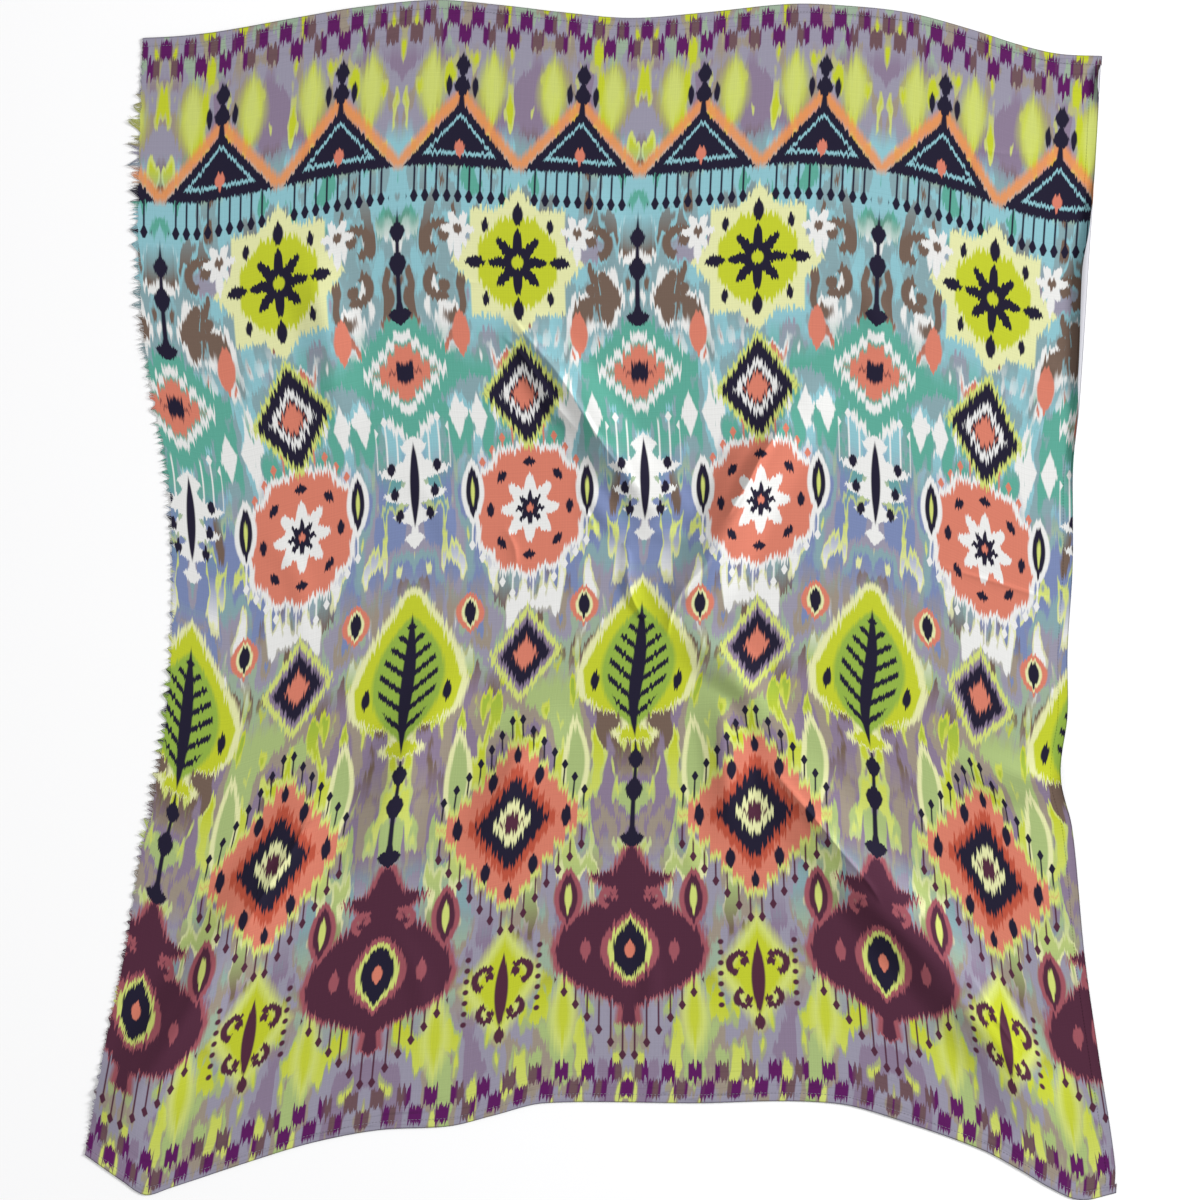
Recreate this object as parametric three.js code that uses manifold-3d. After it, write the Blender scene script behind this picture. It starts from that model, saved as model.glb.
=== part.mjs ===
// A light scarf laid flat, face up. Sizes are in millimetres. +X runs to the right of the scarf,
// +Y from its foot to its head and +Z up from the surface that it lies on. The origin is under the
// middle of the whole outline.

import * as THREE from 'three';
import { mergeVertices } from 'three/addons/utils/BufferGeometryUtils.js';
import Module from 'manifold-3d';

const CLOTH_THICKNESS = 1.2;
const SEAM_GAP = 0.3;
const HEM_WIDTH = 9;
const HEM_THICKNESS = 2;
const FRINGE_BACKING_WIDTH = 3;

const PANEL_COLUMNS = 46;
const PANEL_ROWS = 42;
const HEM_CELLS = 2;

// The outline of the laid cloth without its fringe: each row is one point of an edge, x then y.
const HEAD_EDGE = [
  { x: -456, y: 562 },
  { x: -419, y: 564 },
  { x: -377, y: 569 },
  { x: -299, y: 583 },
  { x: -239, y: 593 },
  { x: -164, y: 600 },
  { x: -99, y: 595 },
  { x: -39, y: 588 },
  { x: 31, y: 582 },
  { x: 101, y: 587 },
  { x: 191, y: 596 },
  { x: 251, y: 594 },
  { x: 311, y: 587 },
  { x: 371, y: 571 },
  { x: 421, y: 555 },
  { x: 461, y: 546 },
  { x: 503, y: 544 },
];
const FOOT_EDGE = [
  { x: -514, y: -555 },
  { x: -477, y: -581 },
  { x: -454, y: -595 },
  { x: -429, y: -588 },
  { x: -338, y: -558 },
  { x: -284, y: -542 },
  { x: -220, y: -530 },
  { x: -149, y: -526 },
  { x: -104, y: -515 },
  { x: -54, y: -503 },
  { x: 101, y: -503 },
  { x: 181, y: -501 },
  { x: 241, y: -504 },
  { x: 281, y: -514 },
  { x: 381, y: -549 },
  { x: 421, y: -570 },
  { x: 451, y: -588 },
  { x: 481, y: -600 },
  { x: 517, y: -593 },
];
const LEFT_EDGE = [
  { x: -514, y: -555 },
  { x: -495, y: -450 },
  { x: -474, y: -350 },
  { x: -458, y: -250 },
  { x: -446, y: -200 },
  { x: -432, y: -100 },
  { x: -427, y: 0 },
  { x: -431, y: 120 },
  { x: -442, y: 180 },
  { x: -456, y: 265 },
  { x: -462, y: 350 },
  { x: -461, y: 450 },
  { x: -456, y: 562 },
];
const RIGHT_EDGE = [
  { x: 517, y: -593 },
  { x: 518, y: -564 },
  { x: 501, y: -453 },
  { x: 487, y: -357 },
  { x: 474, y: -228 },
  { x: 462, y: -176 },
  { x: 469, y: -115 },
  { x: 469, y: -50 },
  { x: 474, y: 32 },
  { x: 475, y: 137 },
  { x: 481, y: 194 },
  { x: 492, y: 360 },
  { x: 497, y: 432 },
  { x: 503, y: 544 },
];

// The largest folds: soft ridges under which the cloth leaves the surface. Each runs through its
// points, is as high as it says in its middle and fades out at both ends and at its half width.
const FOLDS = [
  { points: [[-80, 272], [-30, 214], [17, 146], [65, 84]], halfWidth: 36, height: 10 },
  { points: [[214, 206], [154, 123], [116, 46], [73, -10]], halfWidth: 42, height: 13 },
  { points: [[91, -35], [141, -81], [178, -140]], halfWidth: 32, height: 7 },
  { points: [[168, -160], [272, -287], [356, -384], [444, -520]], halfWidth: 44, height: 12 },
  { points: [[-276, -206], [-354, -317], [-411, -412], [-486, -526]], halfWidth: 46, height: 13 },
  { points: [[118, -90], [129, -165], [132, -225]], halfWidth: 32, height: 6 },
  { points: [[-50, -126], [-83, -164], [-112, -240]], halfWidth: 34, height: 6 },
  { points: [[-140, -80], [-190, -150], [-230, -262]], halfWidth: 40, height: 7 },
  { points: [[468, -176], [426, -182], [372, -172]], halfWidth: 30, height: 7 },
  { points: [[-292, 340], [-271, 265], [-262, 180]], halfWidth: 34, height: 5 },
];
const FOLD_STEPS = 12;
const FOLD_FADE = 0.7;

// How far the right hem curls up, by its share of the way from foot to head: the angle that its
// outer line has turned through, in degrees, and the width of the cloth that curls.
const RIGHT_CURL = [
  { share: 0, turn: 6, width: 9 },
  { share: 0.3, turn: 24, width: 9 },
  { share: 0.37, turn: 40, width: 10 },
  { share: 0.5, turn: 24, width: 9 },
  { share: 0.62, turn: 40, width: 10 },
  { share: 0.7, turn: 160, width: 14 },
  { share: 0.82, turn: 185, width: 15 },
  { share: 0.9, turn: 60, width: 10 },
  { share: 1, turn: 10, width: 9 },
];
const CURL_FLATTENING = 0.6;
const CURL_CELLS = 5;

// The frayed side: how far its strands reach, by the share of the way from foot to head.
const STRAND_REACH = [
  { share: 0, reach: 6 },
  { share: 0.1, reach: 5 },
  { share: 0.2, reach: 7 },
  { share: 0.3, reach: 9 },
  { share: 0.42, reach: 9 },
  { share: 0.52, reach: 6 },
  { share: 0.62, reach: 9 },
  { share: 0.68, reach: 3.5 },
  { share: 0.76, reach: 9 },
  { share: 0.88, reach: 10 },
  { share: 0.96, reach: 4 },
  { share: 1, reach: 6 },
];
const STRAND_COUNT = 204;
const STRANDS_A_TUFT = 3;
const TUFT_CLOSING = 0.45;
const STRAND_ROOT_RADIUS = 0.52;
const STRAND_TIP_RADIUS = 0.24;
const STRAND_ROOT_HEIGHT = 0.62;
const STRAND_TIP_HEIGHT = 1.5;
const STRAND_TIP_SPREAD = 0.8;
const STRAND_ROOT_DEPTH = 1.6;
const STRAND_SIDES = 3;
const FRINGE_LENGTHS = [
  { name: 'fringe_foot', fromRow: 0, toRow: 10 },
  { name: 'fringe_lower', fromRow: 10, toRow: 21 },
  { name: 'fringe_middle', fromRow: 21, toRow: 32 },
  { name: 'fringe_upper', fromRow: 32, toRow: PANEL_ROWS },
];

const wasm = await Module();
wasm.setup();

// A repeatable stand-in for chance: the same number for the same seed, from 0 to 1.
function chance(seed) {
  const wave = Math.sin(seed * 12.9898 + 4.1414) * 43758.5453;
  return wave - Math.floor(wave);
}

// The value of a table's column at a share of the way, easing from row to row.
function tableValue(table, share, column) {
  let row = 0;
  while (row < table.length - 2 && table[row + 1].share < share) {
    row += 1;
  }
  const from = table[row];
  const to = table[row + 1];
  const way = THREE.MathUtils.smoothstep(share, from.share, to.share);
  return THREE.MathUtils.lerp(from[column], to[column], way);
}

// A smooth line through an edge's points, which a share from 0 to 1 of its length runs along.
function smoothEdge(points) {
  const shares = [0];
  for (let i = 1; i < points.length; i += 1) {
    const step = Math.hypot(points[i].x - points[i - 1].x, points[i].y - points[i - 1].y);
    shares.push(shares[i - 1] + step);
  }
  const whole = shares[shares.length - 1];
  const last = points.length - 1;
  const slope = (i, axis) => {
    const before = Math.max(i - 1, 0);
    const after = Math.min(i + 1, last);
    return (points[after][axis] - points[before][axis]) / (shares[after] - shares[before]);
  };
  const hermite = (i, way, axis) => {
    const length = shares[i + 1] - shares[i];
    const square = way * way;
    const cube = square * way;
    return (2 * cube - 3 * square + 1) * points[i][axis]
      + (cube - 2 * square + way) * length * slope(i, axis)
      + (3 * square - 2 * cube) * points[i + 1][axis]
      + (cube - square) * length * slope(i + 1, axis);
  };
  return (share) => {
    const travelled = THREE.MathUtils.clamp(share, 0, 1) * whole;
    let i = 0;
    while (i < last - 1 && shares[i + 1] < travelled) {
      i += 1;
    }
    const way = (travelled - shares[i]) / (shares[i + 1] - shares[i]);
    return { x: hermite(i, way, 'x'), y: hermite(i, way, 'y') };
  };
}

const head = smoothEdge(HEAD_EDGE);
const foot = smoothEdge(FOOT_EDGE);
const left = smoothEdge(LEFT_EDGE);
const right = smoothEdge(RIGHT_EDGE);

// The place on the laid cloth, seen from above, at a share of its width and of its length.
function clothPlace(across, along) {
  const place = {};
  for (const axis of ['x', 'y']) {
    const fromEnds = (1 - along) * foot(across)[axis] + along * head(across)[axis];
    const fromSides = (1 - across) * left(along)[axis] + across * right(along)[axis];
    const fromCorners = (1 - along) * ((1 - across) * foot(0)[axis] + across * foot(1)[axis])
      + along * ((1 - across) * head(0)[axis] + across * head(1)[axis]);
    place[axis] = fromEnds + fromSides - fromCorners;
  }
  return place;
}

const foldLines = FOLDS.map((fold) => {
  const curve = new THREE.SplineCurve(fold.points.map(([x, y]) => new THREE.Vector2(x, y)));
  return { ...fold, line: curve.getPoints(FOLD_STEPS) };
});

// How far the cloth's underside is lifted off the surface by its folds.
function foldHeight(x, y) {
  let highest = 0;
  for (const fold of foldLines) {
    for (let i = 0; i < FOLD_STEPS; i += 1) {
      const from = fold.line[i];
      const to = fold.line[i + 1];
      const runX = to.x - from.x;
      const runY = to.y - from.y;
      const square = runX * runX + runY * runY;
      const way = THREE.MathUtils.clamp(((x - from.x) * runX + (y - from.y) * runY) / square, 0, 1);
      const away = Math.hypot(x - from.x - way * runX, y - from.y - way * runY) / fold.halfWidth;
      if (away < 1) {
        const fade = Math.sin(Math.PI * (i + way) / FOLD_STEPS) ** FOLD_FADE;
        highest = Math.max(highest, fold.height * fade * (1 - away * away) ** 2);
      }
    }
  }
  return highest;
}

// The spacing that a width in millimetres takes as a share of the cloth, at its middle.
const CLOTH_WIDTH = right(0.5).x - left(0.5).x;
const CLOTH_LENGTH = head(0.5).y - foot(0.5).y;
const HEM_SHARE = HEM_WIDTH / CLOTH_LENGTH;
const LENGTH_GAP_SHARE = SEAM_GAP / CLOTH_LENGTH;
const STRAND_MARGIN_SHARE = STRAND_ROOT_RADIUS / CLOTH_LENGTH;
const BACKING_SHARE = FRINGE_BACKING_WIDTH / CLOTH_WIDTH;
const WIDTH_GAP_SHARE = SEAM_GAP / CLOTH_WIDTH;

// The width that the curled right hem takes of the cloth as it is seen from above.
function curlReach(along) {
  const turn = THREE.MathUtils.degToRad(tableValue(RIGHT_CURL, along, 'turn'));
  const radius = tableValue(RIGHT_CURL, along, 'width') / turn;
  return radius * Math.sin(Math.min(turn, Math.PI / 2));
}

function rightSeamShare(along) {
  return 1 - curlReach(along) / CLOTH_WIDTH;
}

// A closed wall over a grid of places, each with the spot of its underside and of its upper face.
function wallGeometry(columns, rows, place) {
  const positions = [];
  const underside = [];
  const upper = [];
  for (let row = 0; row <= rows; row += 1) {
    for (let column = 0; column <= columns; column += 1) {
      const { low, high } = place(column / columns, row / rows);
      underside.push(positions.length / 3);
      positions.push(low.x, low.y, low.z);
      upper.push(positions.length / 3);
      positions.push(high.x, high.y, high.z);
    }
  }
  const index = [];
  const quad = (a, b, c, d) => index.push(a, b, c, a, c, d);
  const at = (side, column, row) => side[row * (columns + 1) + column];
  for (let row = 0; row < rows; row += 1) {
    for (let column = 0; column < columns; column += 1) {
      quad(at(upper, column, row), at(upper, column + 1, row),
        at(upper, column + 1, row + 1), at(upper, column, row + 1));
      quad(at(underside, column, row), at(underside, column, row + 1),
        at(underside, column + 1, row + 1), at(underside, column + 1, row));
    }
  }
  for (let column = 0; column < columns; column += 1) {
    quad(at(underside, column, 0), at(underside, column + 1, 0),
      at(upper, column + 1, 0), at(upper, column, 0));
    quad(at(underside, column + 1, rows), at(underside, column, rows),
      at(upper, column, rows), at(upper, column + 1, rows));
  }
  for (let row = 0; row < rows; row += 1) {
    quad(at(underside, 0, row + 1), at(underside, 0, row), at(upper, 0, row), at(upper, 0, row + 1));
    quad(at(underside, columns, row), at(underside, columns, row + 1),
      at(upper, columns, row + 1), at(upper, columns, row));
  }
  const geometry = new THREE.BufferGeometry();
  geometry.setAttribute('position', new THREE.Float32BufferAttribute(positions, 3));
  geometry.setIndex(index);
  return geometry;
}

// One spot of the laid cloth: its underside and, straight over it, its upper face.
function layer(across, along, thickness) {
  const { x, y } = clothPlace(across, along);
  const z = foldHeight(x, y);
  return { low: { x, y, z }, high: { x, y, z: z + thickness } };
}

// The share of the cloth's length at which a row of the panel lies.
function panelAlong(row) {
  return THREE.MathUtils.lerp(HEM_SHARE, 1 - HEM_SHARE, row);
}

function panelGeometry() {
  const start = BACKING_SHARE + WIDTH_GAP_SHARE;
  return wallGeometry(PANEL_COLUMNS, PANEL_ROWS, (column, row) => {
    const along = panelAlong(row);
    const end = rightSeamShare(along) - WIDTH_GAP_SHARE;
    return layer(THREE.MathUtils.lerp(start, end, column), along, CLOTH_THICKNESS);
  });
}

// A turned hem along the head or the foot, thickest in its middle. Its columns are the panel's, so
// that the seam between them stays even, and one more that covers the end of the right hem.
function endHemGeometry(innerShare, outerShare) {
  const start = BACKING_SHARE + WIDTH_GAP_SHARE;
  const end = rightSeamShare(innerShare) - WIDTH_GAP_SHARE;
  const fromFoot = Math.min(innerShare, outerShare);
  const fromHead = Math.max(innerShare, outerShare);
  const columns = PANEL_COLUMNS + 1;
  return wallGeometry(columns, HEM_CELLS, (column, row) => {
    const across = THREE.MathUtils.lerp(start, end, column * columns / PANEL_COLUMNS);
    const along = THREE.MathUtils.lerp(fromFoot, fromHead, row);
    const bulge = Math.sin(Math.PI * row);
    const thickness = THREE.MathUtils.lerp(CLOTH_THICKNESS, HEM_THICKNESS, bulge);
    return layer(column === 1 ? 1 : across, along, thickness);
  });
}

// The narrow right hem: it leaves the panel level and curls up and over as its table says.
function sideHemGeometry() {
  const ends = HEM_SHARE + LENGTH_GAP_SHARE;
  return wallGeometry(CURL_CELLS, PANEL_ROWS, (column, row) => {
    const along = THREE.MathUtils.clamp(panelAlong(row), ends, 1 - ends);
    const turn = THREE.MathUtils.degToRad(tableValue(RIGHT_CURL, along, 'turn'));
    const radius = tableValue(RIGHT_CURL, along, 'width') / turn;
    const seam = clothPlace(rightSeamShare(along), along);
    const edge = clothPlace(1, along);
    const outward = new THREE.Vector2(edge.x - seam.x, edge.y - seam.y).normalize();
    const z = foldHeight(seam.x, seam.y);
    const angle = turn * column;
    const spot = (r) => ({
      x: seam.x + outward.x * r * Math.sin(angle),
      y: seam.y + outward.y * r * Math.sin(angle),
      z: z + CURL_FLATTENING * (radius - r * Math.cos(angle)),
    });
    const low = spot(radius);
    const high = spot(radius - CLOTH_THICKNESS / CURL_FLATTENING);
    return { low, high };
  });
}

// The direction straight out of the left edge, seen from above.
function leftOutward(along) {
  const before = left(along - 0.002);
  const after = left(along + 0.002);
  const outward = new THREE.Vector2(before.y - after.y, after.x - before.x);
  return outward.normalize();
}

// The strip that the strands grow from. It has the panel's rows, so that their seam stays even.
function backingGeometry(from, to) {
  const shares = [from, to];
  for (let row = 0; row <= PANEL_ROWS; row += 1) {
    const along = panelAlong(row / PANEL_ROWS);
    if (along > from + LENGTH_GAP_SHARE && along < to) {
      shares.push(along);
    }
  }
  shares.sort((a, b) => a - b);
  const rows = shares.length - 1;
  return wallGeometry(1, rows, (column, row) =>
    layer(BACKING_SHARE * column, shares[Math.round(row * rows)], CLOTH_THICKNESS));
}

// One frayed strand: a straight thin spike from inside the backing to its tip.
function strandGeometry(rootSpot, tipSpot) {
  const reach = new THREE.Vector3().subVectors(tipSpot, rootSpot);
  const spike = new THREE.CylinderGeometry(
    STRAND_TIP_RADIUS, STRAND_ROOT_RADIUS, reach.length(), STRAND_SIDES);
  spike.translate(0, reach.length() / 2, 0);
  const turn = new THREE.Quaternion().setFromUnitVectors(new THREE.Vector3(0, 1, 0), reach.normalize());
  spike.applyQuaternion(turn);
  spike.translate(rootSpot.x, rootSpot.y, rootSpot.z);
  return spike;
}

function strand(number) {
  const tuft = Math.floor(number / STRANDS_A_TUFT);
  const middle = tuft * STRANDS_A_TUFT + (STRANDS_A_TUFT - 1) / 2;
  const along = (number + 0.5) / STRAND_COUNT;
  const tipAlong = (THREE.MathUtils.lerp(number, middle, TUFT_CLOSING) + 0.5
    + STRAND_TIP_SPREAD * (chance(tuft) - 0.5)) / STRAND_COUNT;
  const outward = leftOutward(along);
  const edge = left(along);
  const tipEdge = left(tipAlong);
  const reach = tableValue(STRAND_REACH, along, 'reach')
    * THREE.MathUtils.lerp(0.6, 1.2, chance(number + 0.5)) * THREE.MathUtils.lerp(0.7, 1.1, chance(tuft + 7));
  const lift = foldHeight(edge.x, edge.y);
  const rootSpot = new THREE.Vector3(
    edge.x - outward.x * STRAND_ROOT_DEPTH, edge.y - outward.y * STRAND_ROOT_DEPTH, STRAND_ROOT_HEIGHT + lift);
  const tipSpot = new THREE.Vector3(
    tipEdge.x + outward.x * reach, tipEdge.y + outward.y * reach,
    THREE.MathUtils.lerp(STRAND_ROOT_HEIGHT, STRAND_TIP_HEIGHT, chance(number + 3)) + lift);
  return strandGeometry(rootSpot, tipSpot);
}

function toSolid(geometry) {
  const bare = geometry.clone();
  bare.deleteAttribute('normal');
  bare.deleteAttribute('uv');
  const merged = mergeVertices(bare, 1e-4);
  return new wasm.Manifold(new wasm.Mesh({
    numProp: 3,
    vertProperties: new Float32Array(merged.attributes.position.array),
    triVerts: new Uint32Array(merged.index.array),
  }));
}

function toGeometry(solid) {
  const mesh = solid.getMesh();
  const geometry = new THREE.BufferGeometry();
  geometry.setAttribute('position', new THREE.BufferAttribute(mesh.vertProperties, 3));
  geometry.setIndex(new THREE.BufferAttribute(mesh.triVerts, 1));
  return geometry;
}

// One length of the frayed side: its strands, fused at their roots into a narrow backing.
function fringeGeometry({ fromRow, toRow }) {
  const from = fromRow === 0 ? 0 : panelAlong(fromRow / PANEL_ROWS) + LENGTH_GAP_SHARE;
  const to = toRow === PANEL_ROWS ? 1 : panelAlong(toRow / PANEL_ROWS);
  let solid = toSolid(backingGeometry(from, to));
  for (let number = 0; number < STRAND_COUNT; number += 1) {
    const along = (number + 0.5) / STRAND_COUNT;
    if (along > from + STRAND_MARGIN_SHARE && along < to - STRAND_MARGIN_SHARE) {
      solid = solid.add(toSolid(strand(number)));
    }
  }
  return toGeometry(solid);
}

const printedCloth = { color: 0x9fb0a8, roughness: 0.85, metalness: 0 };
const frayedThreads = { color: 0xa9b39a, roughness: 0.9, metalness: 0 };

function piece(name, geometry, finish) {
  geometry.computeVertexNormals();
  const mesh = new THREE.Mesh(geometry, new THREE.MeshStandardMaterial(finish));
  mesh.name = name;
  return mesh;
}

const scarf = new THREE.Group();
scarf.add(piece('scarf_panel', panelGeometry(), printedCloth));
scarf.add(piece('hem_top', endHemGeometry(1 - HEM_SHARE + LENGTH_GAP_SHARE, 1), printedCloth));
scarf.add(piece('hem_bottom', endHemGeometry(HEM_SHARE - LENGTH_GAP_SHARE, 0), printedCloth));
scarf.add(piece('hem_right', sideHemGeometry(), printedCloth));
for (const length of FRINGE_LENGTHS) {
  scarf.add(piece(length.name, fringeGeometry(length), frayedThreads));
}

export default scarf;
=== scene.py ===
"""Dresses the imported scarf: printed cloth with soft creases, stitched hems and a frayed side."""

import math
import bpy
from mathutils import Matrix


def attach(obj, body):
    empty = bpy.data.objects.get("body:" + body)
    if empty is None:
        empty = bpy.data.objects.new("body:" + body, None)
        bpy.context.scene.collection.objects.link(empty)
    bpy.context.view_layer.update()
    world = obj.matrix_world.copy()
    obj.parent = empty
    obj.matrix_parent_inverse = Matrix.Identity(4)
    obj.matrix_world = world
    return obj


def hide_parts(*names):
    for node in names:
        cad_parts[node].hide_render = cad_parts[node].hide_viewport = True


bl_info = {
    "name": "Ikat scarf",
    "version": (1, 0, 0),
    "blender": (4, 5, 0),
    "location": "View3D > Sidebar > Scarf",
    "description": "A printed scarf laid flat, with creases, stitched hems and a frayed side",
    "category": "Add Mesh",
}

import bmesh
import bpy
import numpy as np
from bpy.props import FloatProperty, FloatVectorProperty, IntProperty, PointerProperty
from mathutils import Vector

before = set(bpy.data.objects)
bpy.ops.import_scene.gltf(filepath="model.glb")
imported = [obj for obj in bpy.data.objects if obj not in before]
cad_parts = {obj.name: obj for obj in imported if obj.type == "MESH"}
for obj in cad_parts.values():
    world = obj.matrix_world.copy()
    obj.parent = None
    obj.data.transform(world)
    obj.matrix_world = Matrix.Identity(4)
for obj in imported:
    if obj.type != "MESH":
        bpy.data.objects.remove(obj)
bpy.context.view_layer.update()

MM = 0.001

# The outline of the laid cloth without its fringe, in millimetres: x and y of each point.
HEAD_EDGE = (
    (-456, 562), (-419, 564), (-377, 569), (-299, 583), (-239, 593), (-164, 600), (-99, 595),
    (-39, 588), (31, 582), (101, 587), (191, 596), (251, 594), (311, 587), (371, 571),
    (421, 555), (461, 546), (503, 544),
)
FOOT_EDGE = (
    (-514, -555), (-477, -581), (-454, -595), (-429, -588), (-338, -558), (-284, -542),
    (-220, -530), (-149, -526), (-104, -515), (-54, -503), (101, -503), (181, -501),
    (241, -504), (281, -514), (381, -549), (421, -570), (451, -588), (481, -600), (517, -593),
)
LEFT_EDGE = (
    (-514, -555), (-495, -450), (-474, -350), (-458, -250), (-446, -200), (-432, -100),
    (-427, 0), (-431, 120), (-442, 180), (-456, 265), (-462, 350), (-461, 450), (-456, 562),
)
RIGHT_EDGE = (
    (517, -593), (518, -564), (501, -453), (487, -357), (474, -228), (462, -176), (469, -115),
    (469, -50), (474, 32), (475, 137), (481, 194), (492, 360), (497, 432), (503, 544),
)

# The largest folds: the points that each crest runs through, its half width and its height.
FOLDS = (
    (((-80, 272), (-30, 214), (17, 146), (65, 84)), 36, 10),
    (((214, 206), (154, 123), (116, 46), (73, -10)), 42, 13),
    (((91, -35), (141, -81), (178, -140)), 32, 7),
    (((168, -160), (272, -287), (356, -384), (444, -520)), 44, 12),
    (((-276, -206), (-354, -317), (-411, -412), (-486, -526)), 46, 13),
    (((118, -90), (129, -165), (132, -225)), 32, 6),
    (((-50, -126), (-83, -164), (-112, -240)), 34, 6),
    (((-140, -80), (-190, -150), (-230, -262)), 40, 7),
    (((468, -176), (426, -182), (372, -172)), 30, 7),
    (((-292, 340), (-271, 265), (-262, 180)), 34, 5),
)

# Smaller creases that lie on the folds and between them: points, the half width on the left of
# the way that they run, the half width on its right, and the height (below 0 is a trough).
CREASES = (
    (((-84, 276), (-39, 227), (-6, 169), (17, 146), (40, 110), (65, 84)), 5, 14, 2.6),
    (((-72, 236), (-47, 199), (-19, 171)), 12, 9, 2.4),
    (((-19, 118), (4, 87), (24, 61)), 15, 12, 3.0),
    (((60, 130), (86, 96), (96, 70)), 10, 12, 1.6),
    (((200, 197), (177, 166), (154, 123), (136, 82), (116, 46), (85, 16), (73, -10)), 7, 18, 3.2),
    (((176, 176), (150, 140), (128, 96)), 10, 10, -1.8),
    (((29, 59), (52, 69), (80, 64), (120, 58)), 9, 14, 3.0),
    (((29, 59), (26, 30), (34, 5), (50, -23)), 12, 8, 2.8),
    (((118, 150), (140, 147), (168, 150)), 8, 8, 1.4),
    (((91, -35), (116, -53), (141, -81), (164, -101)), 8, 13, 2.8),
    (((97, -59), (124, -79), (152, -97)), 11, 9, 2.0),
    (((170, -164), (216, -218), (244, -256), (276, -292)), 5, 12, 2.8),
    (((262, -300), (300, -330), (341, -372)), 14, 10, 2.0),
    (((352, -392), (394, -437), (428, -484)), 10, 14, 2.6),
    (((122, -96), (126, -150), (131, -222)), 9, 13, 2.2),
    (((81, -222), (97, -277)), 14, 12, 1.8),
    (((-279, -214), (-309, -250), (-341, -294), (-356, -320)), 12, 5, 2.6),
    (((-376, -346), (-411, -412), (-447, -467), (-478, -512)), 14, 9, 2.6),
    (((-54, -132), (-83, -164), (-99, -206)), 9, 12, 2.0),
    (((-146, -92), (-190, -150), (-222, -232)), 12, 12, 1.8),
    (((438, 241), (455, 229), (474, 213)), 7, 7, 1.8),
    (((466, -178), (436, -180), (402, -170)), 7, 10, 2.4),
    (((-298, 228), (-292, 196), (-288, 166)), 6, 7, 1.3),
    (((-288, 324), (-271, 265), (-262, 184)), 6, 8, 1.6),
    (((-190, 120), (-160, 92), (-148, 40)), 14, 14, 1.6),
    (((-330, 60), (-300, 20), (-296, -40)), 16, 16, 1.6),
    (((240, 330), (270, 296), (284, 250)), 16, 16, 1.5),
    (((-20, 420), (12, 380), (20, 330)), 16, 18, 1.4),
    (((-210, -330), (-180, -376), (-176, -430)), 14, 16, 1.6),
    (((40, -330), (52, -380), (44, -440)), 14, 14, 1.5),
)

# Creases with a sharp line along their crest, in the same columns.
SHARP_CREASES = (
    (((-86, 282), (-74, 266), (-46, 233), (-30, 210), (0, 162), (16, 139), (36, 112)), 4, 10, 2.7),
    (((-98, 266), (-81, 249), (-62, 222), (-48, 199), (-28, 176), (-8, 154)), 9, 4, 2.0),
    (((184, 176), (174, 160), (160, 139), (149, 116), (140, 103), (128, 82)), 4, 17, 3.6),
    (((24, 60), (30, 44), (29, 27), (32, 6), (39, -10), (50, -24)), 4, 9, 2.3),
    (((112, 42), (103, 29), (85, 11), (72, -16), (69, -36)), 4, 9, 2.4),
    (((-286, -206), (-306, -250), (-319, -268), (-333, -291), (-343, -308), (-354, -332)),
     9, 5, 3.2),
    (((172, -168), (196, -197), (214, -217), (233, -240), (251, -261), (270, -284), (282, -304)),
     9, 5, 3.2),
    (((372, -376), (400, -422), (418, -452)), 4, 10, 1.8),
    (((340, 34), (396, 18), (452, 0)), 4, 7, 1.4),
    (((-16, 93), (-8, 80), (-3, 64)), 6, 14, 2.0),
    (((-92, 70), (-84, 52), (-82, 34)), 6, 14, 2.0),
    (((-150, 330), (-128, 318), (-96, 322)), 4, 7, 0.9),
    (((380, 452), (410, 446), (452, 450)), 4, 7, 0.9),
)

# Fine wrinkles that run beside the head and foot hems: the share of the cloth's width from which
# and to which each runs, its distance from the cloth's end in millimetres and its height.
END_WRINKLES = (
    ("head", 0.02, 0.30, 15, 0.55), ("head", 0.16, 0.50, 21, 0.5), ("head", 0.40, 0.62, 27, 0.5),
    ("head", 0.55, 0.80, 16, 0.55), ("head", 0.30, 0.44, 38, 0.4), ("head", 0.72, 0.96, 23, 0.45),
    ("head", 0.06, 0.22, 33, 0.4), ("foot", 0.06, 0.34, 16, 0.55), ("foot", 0.28, 0.52, 22, 0.5),
    ("foot", 0.44, 0.72, 17, 0.55), ("foot", 0.50, 0.66, 31, 0.5), ("foot", 0.66, 0.92, 19, 0.45),
    ("foot", 0.34, 0.46, 36, 0.4),
)

# Their half width and how far they wander, in millimetres, how often they bend over the cloth's
# width, and how steeply they fade out at both ends.
WRINKLE_HALF_WIDTH = 5
WRINKLE_WANDER = 2.5
WRINKLE_BENDS = 21
WRINKLE_FADE = 0.6

# The straight runs that a crest's line is made of, and how steeply it fades out at both ends.
FOLD_STEPS = 12
FOLD_FADE = 0.7

# How the right hem curls up, by its share of the way from foot to head: the turn of its outer
# line in degrees and the width of the cloth that curls, in millimetres.
RIGHT_CURL = (
    (0, 6, 9), (0.3, 12, 9), (0.37, 30, 10), (0.44, 10, 9), (0.6, 14, 9), (0.68, 120, 12),
    (0.72, 165, 16), (0.81, 190, 20), (0.86, 130, 14), (0.9, 24, 9), (0.955, 10, 9),
    (0.972, 150, 13), (0.985, 150, 13), (1, 30, 9),
)

# How high the curl stands, as a share of a round one.
CURL_FLATTENING = 0.6

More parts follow.
